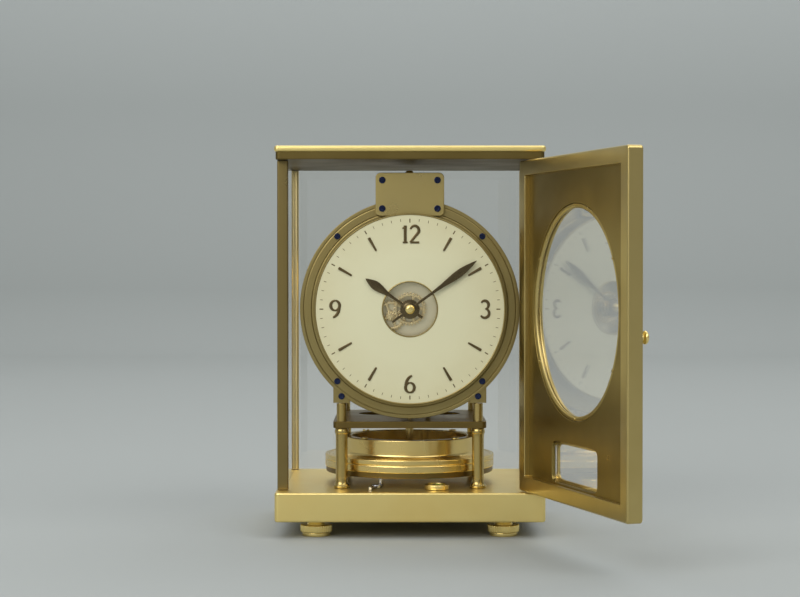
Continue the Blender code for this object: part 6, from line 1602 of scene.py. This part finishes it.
def build_pulleys():
    """The chain wheel, which faces the dial, and the guide pulley, whose axis lies level, both grooved."""
    flank, floor = 0.0009, 0.0004
    bore, side, lip, groove_floor = 0.0018, 0.0014, half_across("chain_wheel"), 0.0042
    turning = lathe([
        (bore, -side), (lip, -side), (lip, -flank), (groove_floor, -floor), (groove_floor, floor),
        (lip, flank), (lip, side), (bore, side),
    ], WHEEL_STEPS, FINE_EDGE, True)
    make("chain_wheel_turning", [facing(turning, *CHAIN_WHEEL)], wheel_brass, "chain_drive", "chain_wheel")
    arbor, arbor_end, side, lip, groove_floor = 0.0007, half_across("guide_pulley"), 0.0013, 0.0037, 0.0022
    turning = lathe([
        (0, -arbor_end), (arbor, -arbor_end), (arbor, -side), (lip, -side), (lip, -flank),
        (groove_floor, -floor), (groove_floor, floor), (lip, flank), (lip, side), (arbor, side),
        (arbor, arbor_end), (0, arbor_end),
    ], KNOB_STEPS, HAIR_EDGE)
    make("guide_pulley_turning", [facing(tipped(turning), *GUIDE_PULLEY)], wheel_brass, "pulley",
         "guide_pulley")


# Fittings on the base

LEVEL_PLACE = seen_standing(middle_of("spirit_level"))
BUBBLE_PLACE = (0.0163, -0.0488)
LEVEL_RADIUS = half_across("spirit_level")
LEVEL_WELL = 0.0054
LOCK_PLACE = seen_standing(PIVOTS["lock"])
LOCK_ANGLE = math.radians(70)
# Low and high face of the lock's arm
LOCK_ARM = (0.0278, 0.0294)
LOCK_HUB = 0.0032
LOCK_TAB_REACH = 0.0071


def build_level():
    """The round spirit level: a turned cup, the liquid, its bubble and the ring that it is read against."""
    cup = lathe([
        (0, 0.0003), (LEVEL_RADIUS, 0.0003), (LEVEL_RADIUS, 0.0028), (0.0068, 0.0034), (0.0056, 0.0036),
        (LEVEL_WELL, 0.0030), (LEVEL_WELL, 0.0016), (0, 0.0016),
    ], WHEEL_STEPS, SOFT_EDGE)
    make("level_case", [standing(cup, *LEVEL_PLACE, BASE_TOP)], turned_gilt, "case", "spirit_level")
    fill = LEVEL_WELL - HAIR
    liquid = lathe([(0, 0.0015), (fill, 0.0015), (fill, 0.0028), (0, 0.0031)], KNOB_STEPS, HAIR_EDGE)
    make("level_liquid_disc", [standing(liquid, *LEVEL_PLACE, BASE_TOP)], level_liquid, "case")
    bubble = lathe([(0, 0.0029), (0.0012, 0.0029), (0.0014, 0.0032), (0, 0.0034)], STUD_STEPS, SOFT_EDGE)
    make("level_bubble", [standing(bubble, *BUBBLE_PLACE, BASE_TOP)], level_glass, "case", slot="clear_glass")
    mark = tube(0.0019, 0.0021, 0.0030, 0.00315, STUD_STEPS, 0)
    make("level_mark", [standing(mark, *LEVEL_PLACE, BASE_TOP)], numeral_bronze, "case", slot="dark_gilt")


def build_lock():
    """The lever that locks the pendulum: a hub, an arm with an upright tab, and a finger under the rim."""
    low, high = LOCK_ARM
    arm = bar([(0.0, 0), (0.004, 0), (0.0086, 0)], [0.0022, 0.0016, 0.0013], low, high, SOFT_EDGE)
    finger = bar([(0.0, 0), (-0.005, 0), (-0.0095, 0), (-0.011, 0)], [0.0022, 0.0012, 0.0012, 0.0008], low,
                 high, SOFT_EDGE)
    hub = lathe([
        (0, 0.0240), (0.0012, 0.0240), (0.0012, low), (LOCK_HUB, low), (LOCK_HUB, 0.0297), (0, 0.0300),
    ], KNOB_STEPS, SOFT_EDGE)
    tab_top = heights("lock_lever")[1]
    tab = moved(rod(0.0013, 0.0290, tab_top, PIN_STEPS, SOFT_EDGE), LOCK_TAB_REACH)
    sheets = [standing(turned_about(one, LOCK_ANGLE), *LOCK_PLACE) for one in (arm, finger, hub, tab)]
    make("lock_lever_steel", sheets, steel, "lock", "lock_lever", slot="polished_steel")


# Room, light and camera

FLOOR_TONE = (0.385, 0.408, 0.397)
# The dip in tone at the foot of the wall is painted shade in the bend.
DIP_PAINTED_SHADE = (0.335, 0.358, 0.347)
DIP_HEIGHT = 0.12
WALL_TONE = (0.52, 0.55, 0.54)
WALL_TONE_HEIGHT = 0.8
# The paler tone far off is painted light, where the lamps don't reach.
FAR_PAINTED_LIGHT = (0.86, 0.89, 0.88)
FAR_START = 1.2
FAR_END = 3.2
SEEN_TONE = (0.268, 0.286, 0.288)
LIGHT_TONE = (0.285, 0.294, 0.3)
ROOM_FRONT = -9.0
ROOM_BACK = 2.6
ROOM_HALF_WIDTH = 6.0
ROOM_HEIGHT = 4.0
ROOM_BEND = 0.5
# Millimetres
LENS = 82.35
SENSOR = 36.0
CAMERA_PLACE = (-0.0059, -1.190, 0.160)
CAMERA_DROP = math.radians(0.955)
LAMPS = (
    # name, place, aim, width, height, watts
    ("key", (-1.1, -1.8, 1.3), (0, 0, 0.1), 2.0, 1.6, 31),
    ("fill", (1.5, -1.4, 2.1), (0, 0, 0.1), 2.2, 1.6, 24),
    ("top", (0.0, -0.2, 1.9), (0, 0, 0.1), 2.2, 1.8, 9),
    ("backdrop", (0.3, 1.7, 2.6), (0.3, 1.9, 0), 4.0, 1.6, 35),
)


def paper():
    """Matt paper: the floor's tone dips at the foot of the wall, as painted shade in the bend, and rises to
    the wall's tone above it, and is paler far in front and to the sides, as painted light where the lamps
    don't reach."""
    material, tree, shader, place = new_material("paper", {"Metallic": 0.0, "Roughness": 0.85})
    split = add_node(tree, "SeparateXYZ", {"Vector": place}).outputs
    drift = ranged(tree, noise(tree, place, 1.5, 1.0), first=-0.02, last=0.02)
    tone = add_node(tree, "ValToRGB", {"Fac": reckoned(tree, "ADD", split["Z"], drift)})
    ramp = tone.color_ramp.elements
    ramp[0].color = (*FLOOR_TONE, 1)
    ramp[1].position = WALL_TONE_HEIGHT
    ramp[1].color = (*WALL_TONE, 1)
    ramp.new(DIP_HEIGHT).color = (*DIP_PAINTED_SHADE, 1)
    aside = reckoned(tree, "ABSOLUTE", split["X"])
    before = reckoned(tree, "MULTIPLY", split["Y"], -1.0)
    far = ranged(tree, reckoned(tree, "MAXIMUM", aside, before), FAR_START, FAR_END)
    feed(tree, shader, {"Base Color": mixed(tree, far, tone.outputs["Color"], (*FAR_PAINTED_LIGHT, 1))})
    return material


def build_room():
    """A floor that curves up into a wall: a line, a quarter circle and a line, carried across."""
    bend = np.linspace(0, TURN / 4, 24)
    flat = np.linspace(ROOM_FRONT, ROOM_BACK - ROOM_BEND, 60)
    rise = np.linspace(ROOM_BEND, ROOM_HEIGHT, 20)
    curve_y = ROOM_BACK - ROOM_BEND + ROOM_BEND * np.sin(bend)
    curve_z = ROOM_BEND - ROOM_BEND * np.cos(bend)
    section = np.concatenate([
        np.stack([flat, 0 * flat], 1),
        np.stack([curve_y, curve_z], 1)[1:],
        np.stack([np.full(len(rise), ROOM_BACK), rise], 1)[1:],
    ])
    across = np.linspace(-ROOM_HALF_WIDTH, ROOM_HALF_WIDTH, 24)
    grid = np.empty((len(section), len(across), 3))
    grid[..., 0] = across[None]
    grid[..., 1] = section[:, :1]
    grid[..., 2] = section[:, 1:]
    points, faces = patch(grid)
    mesh = bpy.data.meshes.new("paper_sweep")
    mesh.from_pydata(points, [], faces)
    mesh.shade_smooth()
    mesh.materials.append(paper())
    sweep = shown("paper_sweep", mesh)


def lamp(name, place, aim, width, height, watts):
    """A soft box that shines towards a point."""
    light = bpy.data.lights.new(name, "AREA")
    light.shape = "RECTANGLE"
    light.size = width
    light.size_y = height
    light.energy = watts
    holder = shown(name, light)
    holder.location = place
    holder.rotation_euler = (Vector(aim) - Vector(place)).to_track_quat("-Z", "Y").to_euler()


def build_light():
    """Soft boxes before, above and behind, and an even room that the camera and glass see a little darker."""
    for values in LAMPS:
        lamp(*values)
    world = bpy.data.worlds.new("room")
    world.use_nodes = True
    tree = world.node_tree
    given = tree.nodes["Background"]
    feed(tree, given, {"Color": (*LIGHT_TONE, 1)})
    seen = add_node(tree, "Background", {"Color": (*SEEN_TONE, 1)})
    path = add_node(tree, "LightPath").outputs
    direct = reckoned(tree, "MAXIMUM", path["Is Camera Ray"], path["Is Transmission Ray"])
    mix = add_node(tree, "MixShader", {0: direct, 1: given.outputs[0], 2: seen.outputs[0]})
    feed(tree, tree.nodes["World Output"], {"Surface": mix.outputs[0]})
    bpy.context.scene.world = world


def build_camera():
    """The photograph's view: a long lens a little above the dial's middle, looking slightly down."""
    camera = bpy.data.cameras.new("camera")
    camera.sensor_width = SENSOR
    camera.lens = LENS
    holder = shown("camera", camera)
    holder.location = CAMERA_PLACE
    holder.rotation_euler = (TURN / 4 - CAMERA_DROP, 0, 0)
    bpy.context.scene.camera = holder


for build in (
    build_case, build_feet, build_door, build_door_fittings, build_plates, build_pillars, build_dial,
    build_marks, build_hands, build_motion_work, build_barrel, build_train, build_escape_wheel, build_lever,
    build_cocks, build_roller, build_pendulum, build_suspension, build_bridge, build_suspension_nut,
    build_regulator, build_drum, build_capsule, build_chain, build_pulleys, build_level, build_lock,
    build_room, build_light, build_camera,
):
    build()

bpy.context.scene.view_settings.view_transform = "Standard"
